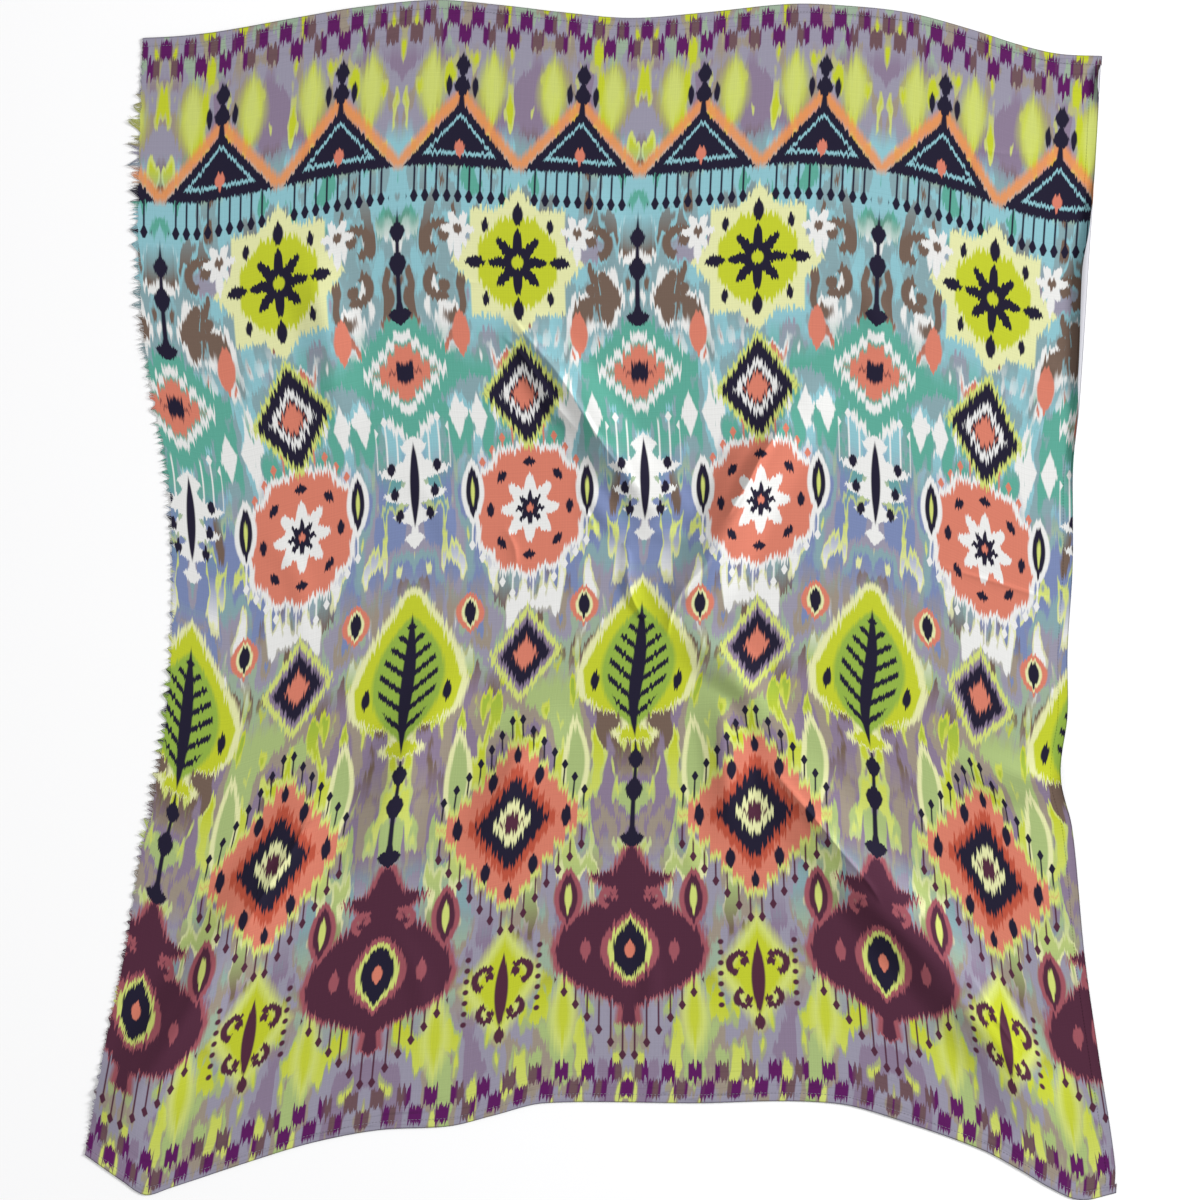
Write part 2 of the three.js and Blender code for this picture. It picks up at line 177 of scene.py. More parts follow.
# How far the frayed side reaches, by the share of the way from foot to head, in millimetres.
FRAY_REACH = (
    (0, 1), (0.03, 2.4), (0.15, 2.6), (0.175, 3), (0.26, 3.5), (0.29, 6.5), (0.34, 8), (0.39, 6.5),
    (0.42, 5), (0.45, 3.5), (0.5, 2), (0.53, 2.5), (0.6, 6), (0.68, 5), (0.71, 3.5), (0.725, 8.5),
    (0.74, 6.5), (0.765, 9.5), (0.79, 7.5), (0.81, 6.5), (0.84, 6), (0.87, 10.5), (0.935, 12),
    (0.947, 9.5), (0.953, 1.5), (1, 0.8),
)

# The section of a turned hem, around from its seam: millimetres outwards and up.
HEM_SECTION = (
    (0.0, 0.1), (0.0, 0.84), (0.5, 0.92), (1.6, 1.12), (4.5, 1.34), (7.6, 1.32), (8.7, 1.1),
    (9.0, 0.7), (8.7, 0.3), (7.8, 0.05), (1.0, 0.05),
)
HEM_WIDTH = 9.0

# Edges of the end hems that turn by more than this, in radians, stay sharp.
SHARP_ANGLE = 1.0

# The gathers along the end hems: their height and what sets their spacing, in millimetres.
PUCKER_HEIGHT = 0.12
PUCKER_LENGTH = 1.9

# The cloth's thickness and its height over the floor where it lies flat, in millimetres.
CLOTH_THICKNESS = 0.7
CLOTH_REST = 0.15

# The height of the cloth's slight unevenness for each unit of its waves, in millimetres.
RIPPLE_HEIGHT = 0.075


def linear(red, green, blue):
    """The scene's colour for a screen colour from 0 to 255."""
    return tuple(
        part / 12.92 if part <= 0.04045 else ((part + 0.055) / 1.055) ** 2.4
        for part in (red / 255, green / 255, blue / 255)
    )


def colour_property(name, description, *screen):
    return FloatVectorProperty(
        name=name, description=description, default=linear(*screen), size=3, min=0, max=1,
        subtype="COLOR",
    )


class ScarfColours(bpy.types.PropertyGroup):
    """The dyes of the print and the colour of the reverse."""

    navy: colour_property("Navy", "Darkest dye", 26, 21, 46)
    plum: colour_property("Plum", "Dark red dye", 80, 37, 58)
    purple: colour_property("Purple", "Dye of the end borders", 92, 16, 92)
    rose: colour_property("Rose", "Dusty rose dye", 158, 84, 94)
    coral: colour_property("Coral", "Main warm dye", 216, 126, 104)
    deep_coral: colour_property("Deep coral", "Hearts of the coral lozenges", 188, 82, 60)
    orange: colour_property("Orange", "Glow above the zigzag", 232, 148, 84)
    lime: colour_property("Lime", "Strong yellow green dye", 194, 204, 44)
    sage: colour_property("Sage", "Soft green ground", 168, 188, 122)
    green: colour_property("Green", "Hearts of the lime lozenges", 146, 178, 68)
    pale_lime: colour_property("Pale lime", "Light yellow green dye", 208, 218, 118)
    pale_yellow: colour_property("Pale yellow", "Lightest yellow dye", 228, 230, 172)
    turquoise: colour_property("Turquoise", "Light blue ground", 142, 194, 204)
    blue_grey: colour_property("Blue grey", "Muted blue ground", 134, 164, 170)
    teal: colour_property("Teal", "Blue green dye", 92, 168, 150)
    white: colour_property("White", "Undyed places", 234, 234, 232)
    lavender: colour_property("Lavender grey", "Ground of both ends", 152, 148, 166)
    mauve: colour_property("Mauve", "Muted purple ground", 138, 122, 146)
    taupe: colour_property("Taupe", "Brown ground", 114, 94, 82)
    greige: colour_property("Greige", "Pale brown ground", 156, 144, 130)
    periwinkle: colour_property("Periwinkle", "Blue violet ground", 122, 136, 178)
    grey_green: colour_property("Grey green", "Muted green ground", 154, 174, 152)
    reverse: colour_property("Reverse", "Unprinted side of the cloth", 184, 184, 190)


def length_property(name, description, *sizes):
    """A length: its default, least and greatest sizes are in millimetres."""
    usual, least, greatest = (size * MM for size in sizes)
    return FloatProperty(
        name=name, description=description, default=usual, min=least, max=greatest,
        subtype="DISTANCE", unit="LENGTH",
    )


class ScarfSizes(bpy.types.PropertyGroup):
    """Sizes that a maker would change."""

    crease_strength: FloatProperty(
        name="Crease strength", description="Height of the small creases beside the measured one",
        default=1.0, min=0, max=2, subtype="FACTOR",
    )
    ikat_feather: length_property(
        "Feathering", "How far a dyed edge runs along the threads", 12.0, 0, 30)
    stitch_pitch: length_property(
        "Stitch pitch", "Length of one stitch and the gap after it", 3.2, 1.5, 10)
    stitch_radius: length_property(
        "Sewing thread radius", "Half the thickness of the sewing thread", 0.22, 0.1, 1)
    fray_threads: IntProperty(
        name="Frayed threads", description="Loose threads along the left side",
        default=1500, min=100, max=4000,
    )
    fray_radius: length_property(
        "Frayed thread radius", "Half the thickness of a loose thread at its root", 0.33, 0.1, 1)


class SmoothEdge:
    """A smooth line through points, which a share from 0 to 1 of its length runs along."""

    def __init__(self, points):
        self.points = np.array(points, float) * MM
        steps = np.linalg.norm(np.diff(self.points, axis=0), axis=1)
        self.travel = np.concatenate(([0.0], np.cumsum(steps)))
        last = len(points) - 1
        before = np.maximum(np.arange(last + 1) - 1, 0)
        after = np.minimum(np.arange(last + 1) + 1, last)
        span = (self.travel[after] - self.travel[before])[:, None]
        self.slopes = (self.points[after] - self.points[before]) / span

    def at(self, share):
        travelled = np.clip(share, 0, 1) * self.travel[-1]
        row = np.clip(np.searchsorted(self.travel, travelled) - 1, 0, len(self.travel) - 2)
        length = (self.travel[row + 1] - self.travel[row])[..., None]
        way = (travelled - self.travel[row])[..., None] / length
        square = way * way
        cube = square * way
        return (
            (2 * cube - 3 * square + 1) * self.points[row]
            + (cube - 2 * square + way) * length * self.slopes[row]
            + (3 * square - 2 * cube) * self.points[row + 1]
            + (cube - square) * length * self.slopes[row + 1]
        )


head = SmoothEdge(HEAD_EDGE)
foot = SmoothEdge(FOOT_EDGE)
left = SmoothEdge(LEFT_EDGE)
right = SmoothEdge(RIGHT_EDGE)

CLOTH_WIDTH = float(right.at(np.array([0.5]))[0, 0] - left.at(np.array([0.5]))[0, 0])
CLOTH_LENGTH = float(head.at(np.array([0.5]))[0, 1] - foot.at(np.array([0.5]))[0, 1])
HEM_SHARE = HEM_WIDTH * MM / CLOTH_LENGTH

# The size that the cloth was cut to, which the print is laid out on.
CUT_WIDTH = 0.968
CUT_LENGTH = 1.130


def cloth_place(across, along):
    """Places on the laid cloth, seen from above, at shares of its width and of its length."""
    a = across[..., None]
    b = along[..., None]
    ends = (1 - b) * foot.at(across) + b * head.at(across)
    sides = (1 - a) * left.at(along) + a * right.at(along)
    nought = np.zeros(1)
    one = np.ones(1)
    corners = (1 - b) * ((1 - a) * foot.at(nought) + a * foot.at(one)) + b * (
        (1 - a) * head.at(nought) + a * head.at(one)
    )
    return ends + sides - corners


def crest_line(points, steps):
    """Points along an even, smooth line through a crest's points, in metres."""
    points = np.array(points, float) * MM
    last = len(points) - 1
    line = []
    for step in range(steps + 1):
        travelled = last * step / steps
        row = min(int(travelled), last)
        way = travelled - row
        p0 = points[max(row - 1, 0)]
        p1 = points[row]
        p2 = points[min(row + 1, last)]
        p3 = points[min(row + 2, last)]
        into = (p2 - p0) / 2
        out = (p3 - p1) / 2
        line.append(
            (2 * p1 - 2 * p2 + into + out) * way**3
            + (3 * p2 - 3 * p1 - 2 * into - out) * way**2 + into * way + p1
        )
    return np.array(line)


def crest_height(places, points, left_width, right_width, height, sharp=False):
    """How high one crest stands over places seen from above, in metres."""
    line = crest_line(points, FOLD_STEPS)
    highest = np.zeros(len(places))
    reach = max(left_width, right_width) * MM
    near = np.all(
        (places > line.min(axis=0) - reach) & (places < line.max(axis=0) + reach), axis=1
    )
    close = places[near]
    found = np.zeros(len(close))
    for step in range(FOLD_STEPS):
        run = line[step + 1] - line[step]
        offset = close - line[step]
        way = np.clip(offset @ run / (run @ run), 0, 1)
        aside = offset - way[:, None] * run
        side = run[0] * offset[:, 1] - run[1] * offset[:, 0]
        width = np.where(side > 0, left_width, right_width) * MM
        away = np.minimum(np.linalg.norm(aside, axis=1) / width, 1)
        fade = np.sin(math.pi * np.clip((step + way) / FOLD_STEPS, 0, 1)) ** FOLD_FADE
        found = np.maximum(found, fade * (1 - (away if sharp else away * away)) ** 2)
    highest[near] = found * height * MM
    return highest


def ripple(places):
    """The slight unevenness of cloth that lies flat, in metres, never below 0."""
    x = places[:, 0] / MM
    y = places[:, 1] / MM
    waves = (
        np.sin(x / 17 + 0.6 * np.sin(y / 41)) * np.sin(y / 26 + 1.3)
        + 0.7 * np.sin(x / 31 - y / 23 + 0.8) + 0.5 * np.sin(x / 9 + y / 37) * np.sin(y / 15 + 0.4)
    )
    return (waves + 2.2) * RIPPLE_HEIGHT * MM


def cloth_height(places, across, along, strength):
    """The height of the cloth's underside over places seen from above, in metres."""
    height = np.zeros(len(places))
    for points, half_width, crest in FOLDS:
        height = np.maximum(height, crest_height(places, points, half_width, half_width, crest))
    for creases, sharp in ((CREASES, False), (SHARP_CREASES, True)):
        for row in creases:
            height += strength * crest_height(places, *row, sharp)
    for end, start, stop, distance, crest in END_WRINKLES:
        from_end = (along if end == "foot" else 1 - along) * CUT_LENGTH / MM
        middle = distance + WRINKLE_WANDER * np.sin(across * WRINKLE_BENDS + distance)
        away = np.minimum(np.abs(from_end - middle) / WRINKLE_HALF_WIDTH, 1)
        way = np.clip((across - start) / (stop - start), 0, 1)
        fade = np.sin(math.pi * way) ** WRINKLE_FADE
        height += strength * crest * MM * (1 - away * away) ** 2 * fade
    return np.maximum(height, 0) + ripple(places)


def table_value(table, share, column):
    """A column of a table at shares of the way, easing from row to row."""
    rows = np.array(table, float)
    row = np.clip(np.searchsorted(rows[:, 0], share) - 1, 0, len(rows) - 2)
    way = np.clip((share - rows[row, 0]) / (rows[row + 1, 0] - rows[row, 0]), 0, 1)
    way = way * way * (3 - 2 * way)
    return rows[row, column] * (1 - way) + rows[row + 1, column] * way


def curl(along):
    """The turn of the right hem, in radians, and its radius, in metres."""
    turn = np.radians(table_value(RIGHT_CURL, along, 1))
    return turn, table_value(RIGHT_CURL, along, 2) * MM / turn


def right_seam_share(along):
    """The share of the width at which the panel meets the curled right hem."""
    turn, radius = curl(along)
    return 1 - radius * np.sin(np.minimum(turn, math.pi / 2)) / CLOTH_WIDTH


def chance(seed):
    """A repeatable stand-in for chance, from 0 to 1."""
    wave = np.sin(np.asarray(seed, float) * 12.9898 + 4.1414) * 43758.5453
    return wave - np.floor(wave)


# Meshes

def to_piece(name, bm, materials, node_slot, *replaced):
    """Makes a bmesh an object of the scarf, smooth, on the root body."""
    mesh = bpy.data.meshes.new(name)
    bm.to_mesh(mesh)
    bm.free()
    for polygon in mesh.polygons:
        polygon.use_smooth = True
    for material in materials:
        mesh.materials.append(material)
    piece = bpy.data.objects.new(name, mesh)
    bpy.context.scene.collection.objects.link(piece)
    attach(piece, "root")
    if replaced:
        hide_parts(*replaced)
    return piece


def shaped_grid(columns, rows, shape, finer=None):
    """A grid whose points are moved by shape, which gets and gives arrays. It also gives UVs."""
    bm = bmesh.new()
    bmesh.ops.create_grid(bm, x_segments=columns, y_segments=rows, size=0.5)
    if finer:
        finer(bm, shape)
    start = np.array([vert.co[:2] for vert in bm.verts]) + 0.5
    places, cloth_uv = shape(start[:, 0], start[:, 1])
    for vert, place in zip(bm.verts, places):
        vert.co = place
    bm.verts.index_update()
    layer = bm.loops.layers.uv.new("cloth")
    for edge in bm.edges:
        edge.smooth = not edge.is_boundary
    lengths = print_length(cloth_uv[:, 1])
    for face in bm.faces:
        face.material_index = int(min(lengths[vert.index] for vert in face.verts))
        for loop in face.loops:
            loop[layer].uv = cloth_uv[loop.vert.index]
    return bm


def finer_by_sharp_creases(bm, shape):
    """Cuts the cells of a grid smaller beside the sharp creases."""
    for reach in FINER_REACHES:
        start = np.array([vert.co[:2] for vert in bm.verts]) + 0.5
        places = shape(start[:, 0], start[:, 1])[0][:, :2]
        near = np.zeros(len(places), bool)
        for points, *_ in SHARP_CREASES:
            near |= crest_height(places, points, reach, reach, 1) > 0
        bm.verts.index_update()
        edges = [edge for edge in bm.edges if all(near[vert.index] for vert in edge.verts)]
        bmesh.ops.subdivide_edges(bm, edges=edges, cuts=1, use_grid_fill=True)


def cut_uv(across, along):
    """Places on the flat cloth, in metres, for shares of its width and length."""
    return np.stack((across * CUT_WIDTH, along * CUT_LENGTH), axis=1)


def back_with_reverse(piece):
    """Gives a sheet its thickness, with the reverse of the cloth on its other side."""
    solidify = piece.modifiers.new("thickness", "SOLIDIFY")
    solidify.thickness = CLOTH_THICKNESS * MM
    solidify.offset = -1
    solidify.material_offset = len(piece.data.materials) - 1


# The density of the panel's columns: more of them run where the creases crowd.
COLUMN_DENSITY = ((0, 1), (0.34, 1), (0.42, 1.5), (0.74, 1.5), (0.84, 1), (1, 1))
PANEL_COLUMNS = 191
PANEL_ROWS = 206
HEM_COLUMNS = 231

# How near the sharp creases the panel's cells are cut smaller, once and then again, in millimetres.
FINER_REACHES = (8, 5)

# How far the frayed edge of the panel steps back at most, and the reach of the loose threads at
# which it does, in millimetres.
RAGGED_DEPTH = 2.6
RAGGED_REACH = 6


def spread_columns(share):
    """Moves evenly spaced shares closer together where the columns are dense."""
    fine = np.linspace(0, 1, 400)
    density = np.interp(fine, *np.array(COLUMN_DENSITY).T)
    total = np.concatenate(([0], np.cumsum((density[1:] + density[:-1]) / 2)))
    return np.interp(share * total[-1], total, fine)


def panel_bmesh(sizes):
    """The upper face of the panel, from its frayed edge to the right hem's seam."""
    def shape(column, row):
        along = HEM_SHARE + (1 - 2 * HEM_SHARE) * row
        across = spread_columns(column) * right_seam_share(along)
        reach = table_value(FRAY_REACH, along, 1)
        depth = RAGGED_DEPTH * MM * np.minimum(reach / RAGGED_REACH, 1)
        ragged = chance(along * 1013) * depth / CLOTH_WIDTH
        across = np.where(column < 0.1 / PANEL_COLUMNS, ragged, across)
        places = cloth_place(across, along)
        height = cloth_height(places, across, along, sizes.crease_strength)
        top = height + (CLOTH_REST + CLOTH_THICKNESS) * MM
        return np.column_stack((places, top)), cut_uv(across, along)

    return shaped_grid(PANEL_COLUMNS, PANEL_ROWS, shape, finer_by_sharp_creases)


def end_hem_bmesh(sizes, at_head):
    """A turned hem: its section runs all round, so that the grid closes on itself."""
    outline = np.array(HEM_SECTION + HEM_SECTION[:1])
    steps = np.arange(len(outline)) / (len(outline) - 1)

    def shape(column, row):
        out = np.interp(row, steps, outline[:, 0]) * MM
        up = np.interp(row, steps, outline[:, 1]) * MM
        share = (HEM_WIDTH * MM - out) / CLOTH_LENGTH
        along = 1 - share if at_head else share
        across = spread_columns(column)
        places = cloth_place(across, along)
        height = cloth_height(places, across, along, sizes.crease_strength)
        gathers = np.sin(across * CUT_WIDTH / MM / PUCKER_LENGTH)
        pucker = PUCKER_HEIGHT * MM * gathers * np.sin(math.pi * out / HEM_WIDTH / MM)
        return np.column_stack((places, height + up + pucker)), cut_uv(across, along)

    bm = shaped_grid(HEM_COLUMNS, len(outline) - 1, shape)
    bmesh.ops.remove_doubles(bm, verts=bm.verts, dist=0.01 * MM)
    bmesh.ops.holes_fill(bm, edges=[edge for edge in bm.edges if edge.is_boundary], sides=0)
    bmesh.ops.recalc_face_normals(bm, faces=bm.faces)
    for edge in bm.edges:
        edge.smooth = edge.calc_face_angle(0) < SHARP_ANGLE
    return bm


# The cells of the right hem across its curl.
CURL_CELLS = 16


def side_hem_bmesh(sizes):
    """The curled hem, which turns up and inwards from the panel's right side."""
    def shape(column, row):
        along = HEM_SHARE + (1 - 2 * HEM_SHARE) * row
        turn, radius = curl(along)
        seam_share = right_seam_share(along)
        seam = cloth_place(seam_share, along)
        outward = cloth_place(np.ones_like(along), along) - seam
        outward /= np.linalg.norm(outward, axis=1)[:, None]
        angle = turn * column
        inner = radius - CLOTH_THICKNESS * MM / CURL_FLATTENING
        places = seam + outward * (inner * np.sin(angle))[:, None]
        height = cloth_height(seam, seam_share, along, sizes.crease_strength) + CLOTH_REST * MM
        top = height + CURL_FLATTENING * (radius - inner * np.cos(angle))
        across = seam_share + column * (radius * turn / CLOTH_WIDTH)
        return np.column_stack((places, top)), cut_uv(across, along)

    return shaped_grid(CURL_CELLS, PANEL_ROWS, shape)


def repeated(template, count):
    """One bmesh that holds a template's geometry many times, and how many points each copy has."""
    bm = bmesh.new()
    bm.loops.layers.uv.new("cloth")
    for _ in range(count):
        bm.from_mesh(template)
    return bm, len(template.vertices)


def thread_template(name, sides, lengths):
    """A thread of radius 1 from 0 to 1 along Z, in several lengths, with closed ends."""
    bm = bmesh.new()
    bmesh.ops.create_cone(bm, cap_ends=True, segments=sides, radius1=1, radius2=1, depth=1)
    bmesh.ops.translate(bm, verts=bm.verts, vec=(0, 0, 0.5))
    for step in range(1, lengths):
        everything = bm.verts[:] + bm.edges[:] + bm.faces[:]
        bmesh.ops.bisect_plane(
            bm, geom=everything, plane_co=(0, 0, step / lengths), plane_no=(0, 0, 1))
    mesh = bpy.data.meshes.new(name)
    bm.loops.layers.uv.new("cloth")
    bm.to_mesh(mesh)
    bm.free()
    return mesh


def threads_bmesh(template, count, route):
    """Copies of a thread, each bent along its route, which gives centres, radii, sides and UVs."""
    bm, points = repeated(template, count)
    shape = np.array([vert.co[:] for vert in template.vertices])
    bm.verts.ensure_lookup_table()
    uv_at = np.zeros((count * points, 2))
    for number in range(count):
        centres, radii, sideways, upward, cloth_uv = route(number, shape[:, 2])
        bent = (
            centres + sideways * (shape[:, 0] * radii)[:, None]
            + upward * (shape[:, 1] * radii)[:, None]
        )
        for index in range(points):
            bm.verts[number * points + index].co = bent[index]
        uv_at[number * points:(number + 1) * points] = cloth_uv
    layer = bm.loops.layers.uv.active
    bm.verts.index_update()
    lengths = print_length(uv_at[:, 1])
    for face in bm.faces:
        face.material_index = int(lengths[face.verts[0].index])
        for loop in face.loops:
            loop[layer].uv = uv_at[loop.vert.index]
    return bm


# Pieces: each class makes one piece or one group of like pieces.

class SCARF_OT_panel(bpy.types.Operator):
    """Lay the printed panel with its folds and creases"""

    bl_idname = "scarf.panel"
    bl_label = "Panel"

    def execute(self, context):
        sizes = context.scene.scarf_sizes
        finishes = print_materials(context.scene) + [reverse_material(context.scene)]
        bm = panel_bmesh(sizes)
        back_with_reverse(to_piece("cloth_panel", bm, finishes, "printed_cloth", "scarf_panel"))
        return {"FINISHED"}


class SCARF_OT_end_hems(bpy.types.Operator):
    """Turn the hems of the head and the foot"""

    bl_idname = "scarf.end_hems"
    bl_label = "Head and foot hems"

    def execute(self, context):
        sizes = context.scene.scarf_sizes
        finishes = print_materials(context.scene)
        to_piece("head_hem", end_hem_bmesh(sizes, True), finishes, "printed_cloth", "hem_top")
        to_piece("foot_hem", end_hem_bmesh(sizes, False), finishes, "printed_cloth", "hem_bottom")
        return {"FINISHED"}


class SCARF_OT_side_hem(bpy.types.Operator):
    """Curl the narrow hem of the right side"""

    bl_idname = "scarf.side_hem"
    bl_label = "Side hem"

    def execute(self, context):
        sizes = context.scene.scarf_sizes
        finishes = print_materials(context.scene) + [reverse_material(context.scene)]
        bm = side_hem_bmesh(sizes)
        back_with_reverse(to_piece("side_hem", bm, finishes, "printed_cloth", "hem_right"))
        return {"FINISHED"}


# The stitches, in millimetres: how far they lie from the cloth's end or from the side hem's seam,
# and their lift over the cloth's underside.
STITCH_INSET = 8.2
SIDE_STITCH_INSET = 0.6
STITCH_LIFT = 1.15
SIDE_STITCH_LIFT = 0.9

# Where in its pitch a stitch starts and how much of it that it takes, as shares, how far it
# arches, and how thin it is at its ends, both as shares of its radius.
STITCH_START = 0.18
STITCH_SHARE = 0.68
STITCH_ARCH = 1.1
STITCH_TIP = 0.45
UPWARD = np.array((0.0, 0.0, 1.0))


def stitch_route(sizes, starts, ends, uv):
    """Stitches that lie on the cloth from starts to ends."""
    def route(number, way):
        run = ends[number] - starts[number]
        ahead = run / np.linalg.norm(run)
        sideways = np.array((-ahead[1], ahead[0], 0.0))
        arch = np.sin(math.pi * way)
        lift = UPWARD * (arch * sizes.stitch_radius * STITCH_ARCH)[:, None]
        centres = starts[number] + way[:, None] * run + lift
        radii = sizes.stitch_radius * (STITCH_TIP + (1 - STITCH_TIP) * arch)
        return centres, radii, sideways, UPWARD, uv[number]

    return route


class SCARF_OT_stitches(bpy.types.Operator):
    """Sew the stitches of the three hems"""

    bl_idname = "scarf.stitches"
    bl_label = "Hem stitches"

    def sewn_line(self, name, first, last, lift, sizes, finishes):
        """Sews stitches from the first to the last spots: shares across and along the cloth."""
        starts, ends = (
            np.column_stack((
                cloth_place(*spot),
                cloth_height(cloth_place(*spot), *spot, sizes.crease_strength) + lift,
            ))
            for spot in (first, last)
        )
        template = thread_template(name + "_stitch", sides=6, lengths=4)
        route = stitch_route(sizes, starts, ends, cut_uv(*first))
        bm = threads_bmesh(template, len(starts), route)
        bpy.data.meshes.remove(template)
        for face in bm.faces:
            face.material_index = min(face.material_index, len(finishes) - 1)
        to_piece(name, bm, finishes, "cloth_threads")

    def execute(self, context):
        sizes = context.scene.scarf_sizes
        finishes = [sewing_material()]
        count = int(CUT_WIDTH / sizes.stitch_pitch)
        start = (np.arange(count) + STITCH_START) / count
        end = start + STITCH_SHARE / count
        inset = STITCH_INSET * MM / CLOTH_LENGTH
        for name, share in (("head_stitches", 1 - inset), ("foot_stitches", inset)):
            along = np.full(count, share)
            self.sewn_line(name, (start, along), (end, along), STITCH_LIFT * MM, sizes, finishes)
        count = int(CUT_LENGTH / sizes.stitch_pitch)
        start = HEM_SHARE + (1 - 2 * HEM_SHARE) * (np.arange(count) + STITCH_START) / count
        end = start + STITCH_SHARE / count
        inset = SIDE_STITCH_INSET * MM / CLOTH_WIDTH
        spots = [(right_seam_share(share) - inset, share) for share in (start, end)]
        finishes = print_materials(context.scene)
        self.sewn_line("side_stitches", *spots, SIDE_STITCH_LIFT * MM, sizes, finishes)
        return {"FINISHED"}


# The tufts of the frayed side. Pairs are the least and the greatest of a measure. The widths fill
# the side together. A tuft closes to a point by a share of its width and leans towards the head
# by a share of its half width. Reaches are shares of the reach that the side has at that place.
TUFTS = 150
TUFT_WIDTHS = (0.3, 2.0)
TUFT_CLOSING = (0.63, 0.9)
TUFT_LEAN = (-0.2, 0.8)
TUFT_REACH = (0.5, 1.1)

# Tufts of less than this half width, a share of the side, are shorter, down to this reach.
NARROW_TUFT = 0.004
NARROW_REACH = 0.6

# The threads of a tuft: the share of them that stray from it and how far, as a share of the side,
# the reach of each, and how much of it the outer ones lose.
LOOSE_SHARE = 0.07
LOOSE_STRAY = (-0.0018, 0.0042)
THREAD_REACH = (0.85, 1.1)
OUTER_LOSS = 0.3

# A loose thread, in millimetres: how far inside the edge and how high it starts, how far it bends
# to a side, how far its tip rises, its least height and the place whose dyes it has.
FRAY_ROOT = 4.0
FRAY_LIFT = 0.55
FRAY_BEND = (-1.2, 1.2)
FRAY_RISE = (0.2, 1.3)
FRAY_LEAST_HEIGHT = 0.25
FRAY_DYED_AT = 5.0

# How much thinner a loose thread is at its tip, as a share of its radius.
FRAY_TAPER = 0.78

# The share of the side over which the edge's direction is taken, to both sides of a place.
EDGE_STEP = 0.002


def drawn(sizes, seed, power=1):
    """Repeatable sizes between the least and the greatest, one for each seed."""
    least, greatest = sizes
    return least + (greatest - least) * chance(seed) ** power


def fray_route(sizes):
    """Loose threads that leave the cloth's left edge and close to the point of their tuft."""
    count = sizes.fray_threads
    number = np.arange(count)
    along = (number + 0.5) / count
    widths = drawn(TUFT_WIDTHS, np.arange(TUFTS) + 0.37, 2)
    bounds = np.concatenate(([0], np.cumsum(widths))) / widths.sum()
    tuft = np.searchsorted(bounds, along) - 1
    middle = (bounds[tuft] + bounds[tuft + 1]) / 2
    half = (bounds[tuft + 1] - bounds[tuft]) / 2
    aside = (along - middle) / half
    lean = drawn(TUFT_LEAN, tuft + 0.3)
    loose = chance(number + 17) < LOOSE_SHARE
    stray = np.where(loose, drawn(LOOSE_STRAY, number + 21), 0)
    tip = middle + half * (aside * (1 - drawn(TUFT_CLOSING, tuft + 11)) + lean) + stray
    root_place = left.at(along)
    tip_place = left.at(tip)
    ahead = left.at(along + EDGE_STEP) - left.at(along - EDGE_STEP)
    outward = np.stack((-ahead[:, 1], ahead[:, 0]), axis=1)
    outward /= np.linalg.norm(outward, axis=1)[:, None]
    fullness = NARROW_REACH + (1 - NARROW_REACH) * np.minimum(half / NARROW_TUFT, 1)
    reach = table_value(FRAY_REACH, along, 1) * MM * fullness * (1 - OUTER_LOSS * abs(aside))
    reach *= drawn(TUFT_REACH, tuft + 7) * drawn(THREAD_REACH, number + 0.5)
    root_height = cloth_height(root_place, np.zeros(count), along, sizes.crease_strength)
    bend = drawn(FRAY_BEND, number + 9) * MM
    rise = drawn(FRAY_RISE, number + 3) * MM

    def route(index, way):
        root = root_place[index] - outward[index] * FRAY_ROOT * MM
        end = tip_place[index] + outward[index] * reach[index]
        path = root + way[:, None] * (end - root)
        path = path + np.sin(math.pi * way)[:, None] * (0, bend[index])
        height = root_height[index] + FRAY_LIFT * MM + way * way * rise[index]
        centres = np.column_stack((path, np.maximum(height, FRAY_LEAST_HEIGHT * MM)))
        radii = sizes.fray_radius * (1 - FRAY_TAPER * way**1.5)
        run = (end - root) / np.linalg.norm(end - root)
        sideways = np.array((-run[1], run[0], 0.0))
        uv = np.array((FRAY_DYED_AT * MM, along[index] * CUT_LENGTH)) + np.zeros((len(way), 1))
        return centres, radii, sideways, UPWARD, uv

    return route


class SCARF_OT_fringe(bpy.types.Operator):
    """Fray the left side into tufts of loose threads"""

    bl_idname = "scarf.fringe"
    bl_label = "Frayed side"

    def execute(self, context):
        sizes = context.scene.scarf_sizes
        template = thread_template("fray", sides=4, lengths=4)
        bm = threads_bmesh(template, sizes.fray_threads, fray_route(sizes))
        bpy.data.meshes.remove(template)
        to_piece(
            "frayed_threads", bm, print_materials(context.scene), "cloth_threads",
            "fringe_upper", "fringe_middle", "fringe_lower", "fringe_foot",
        )
        return {"FINISHED"}


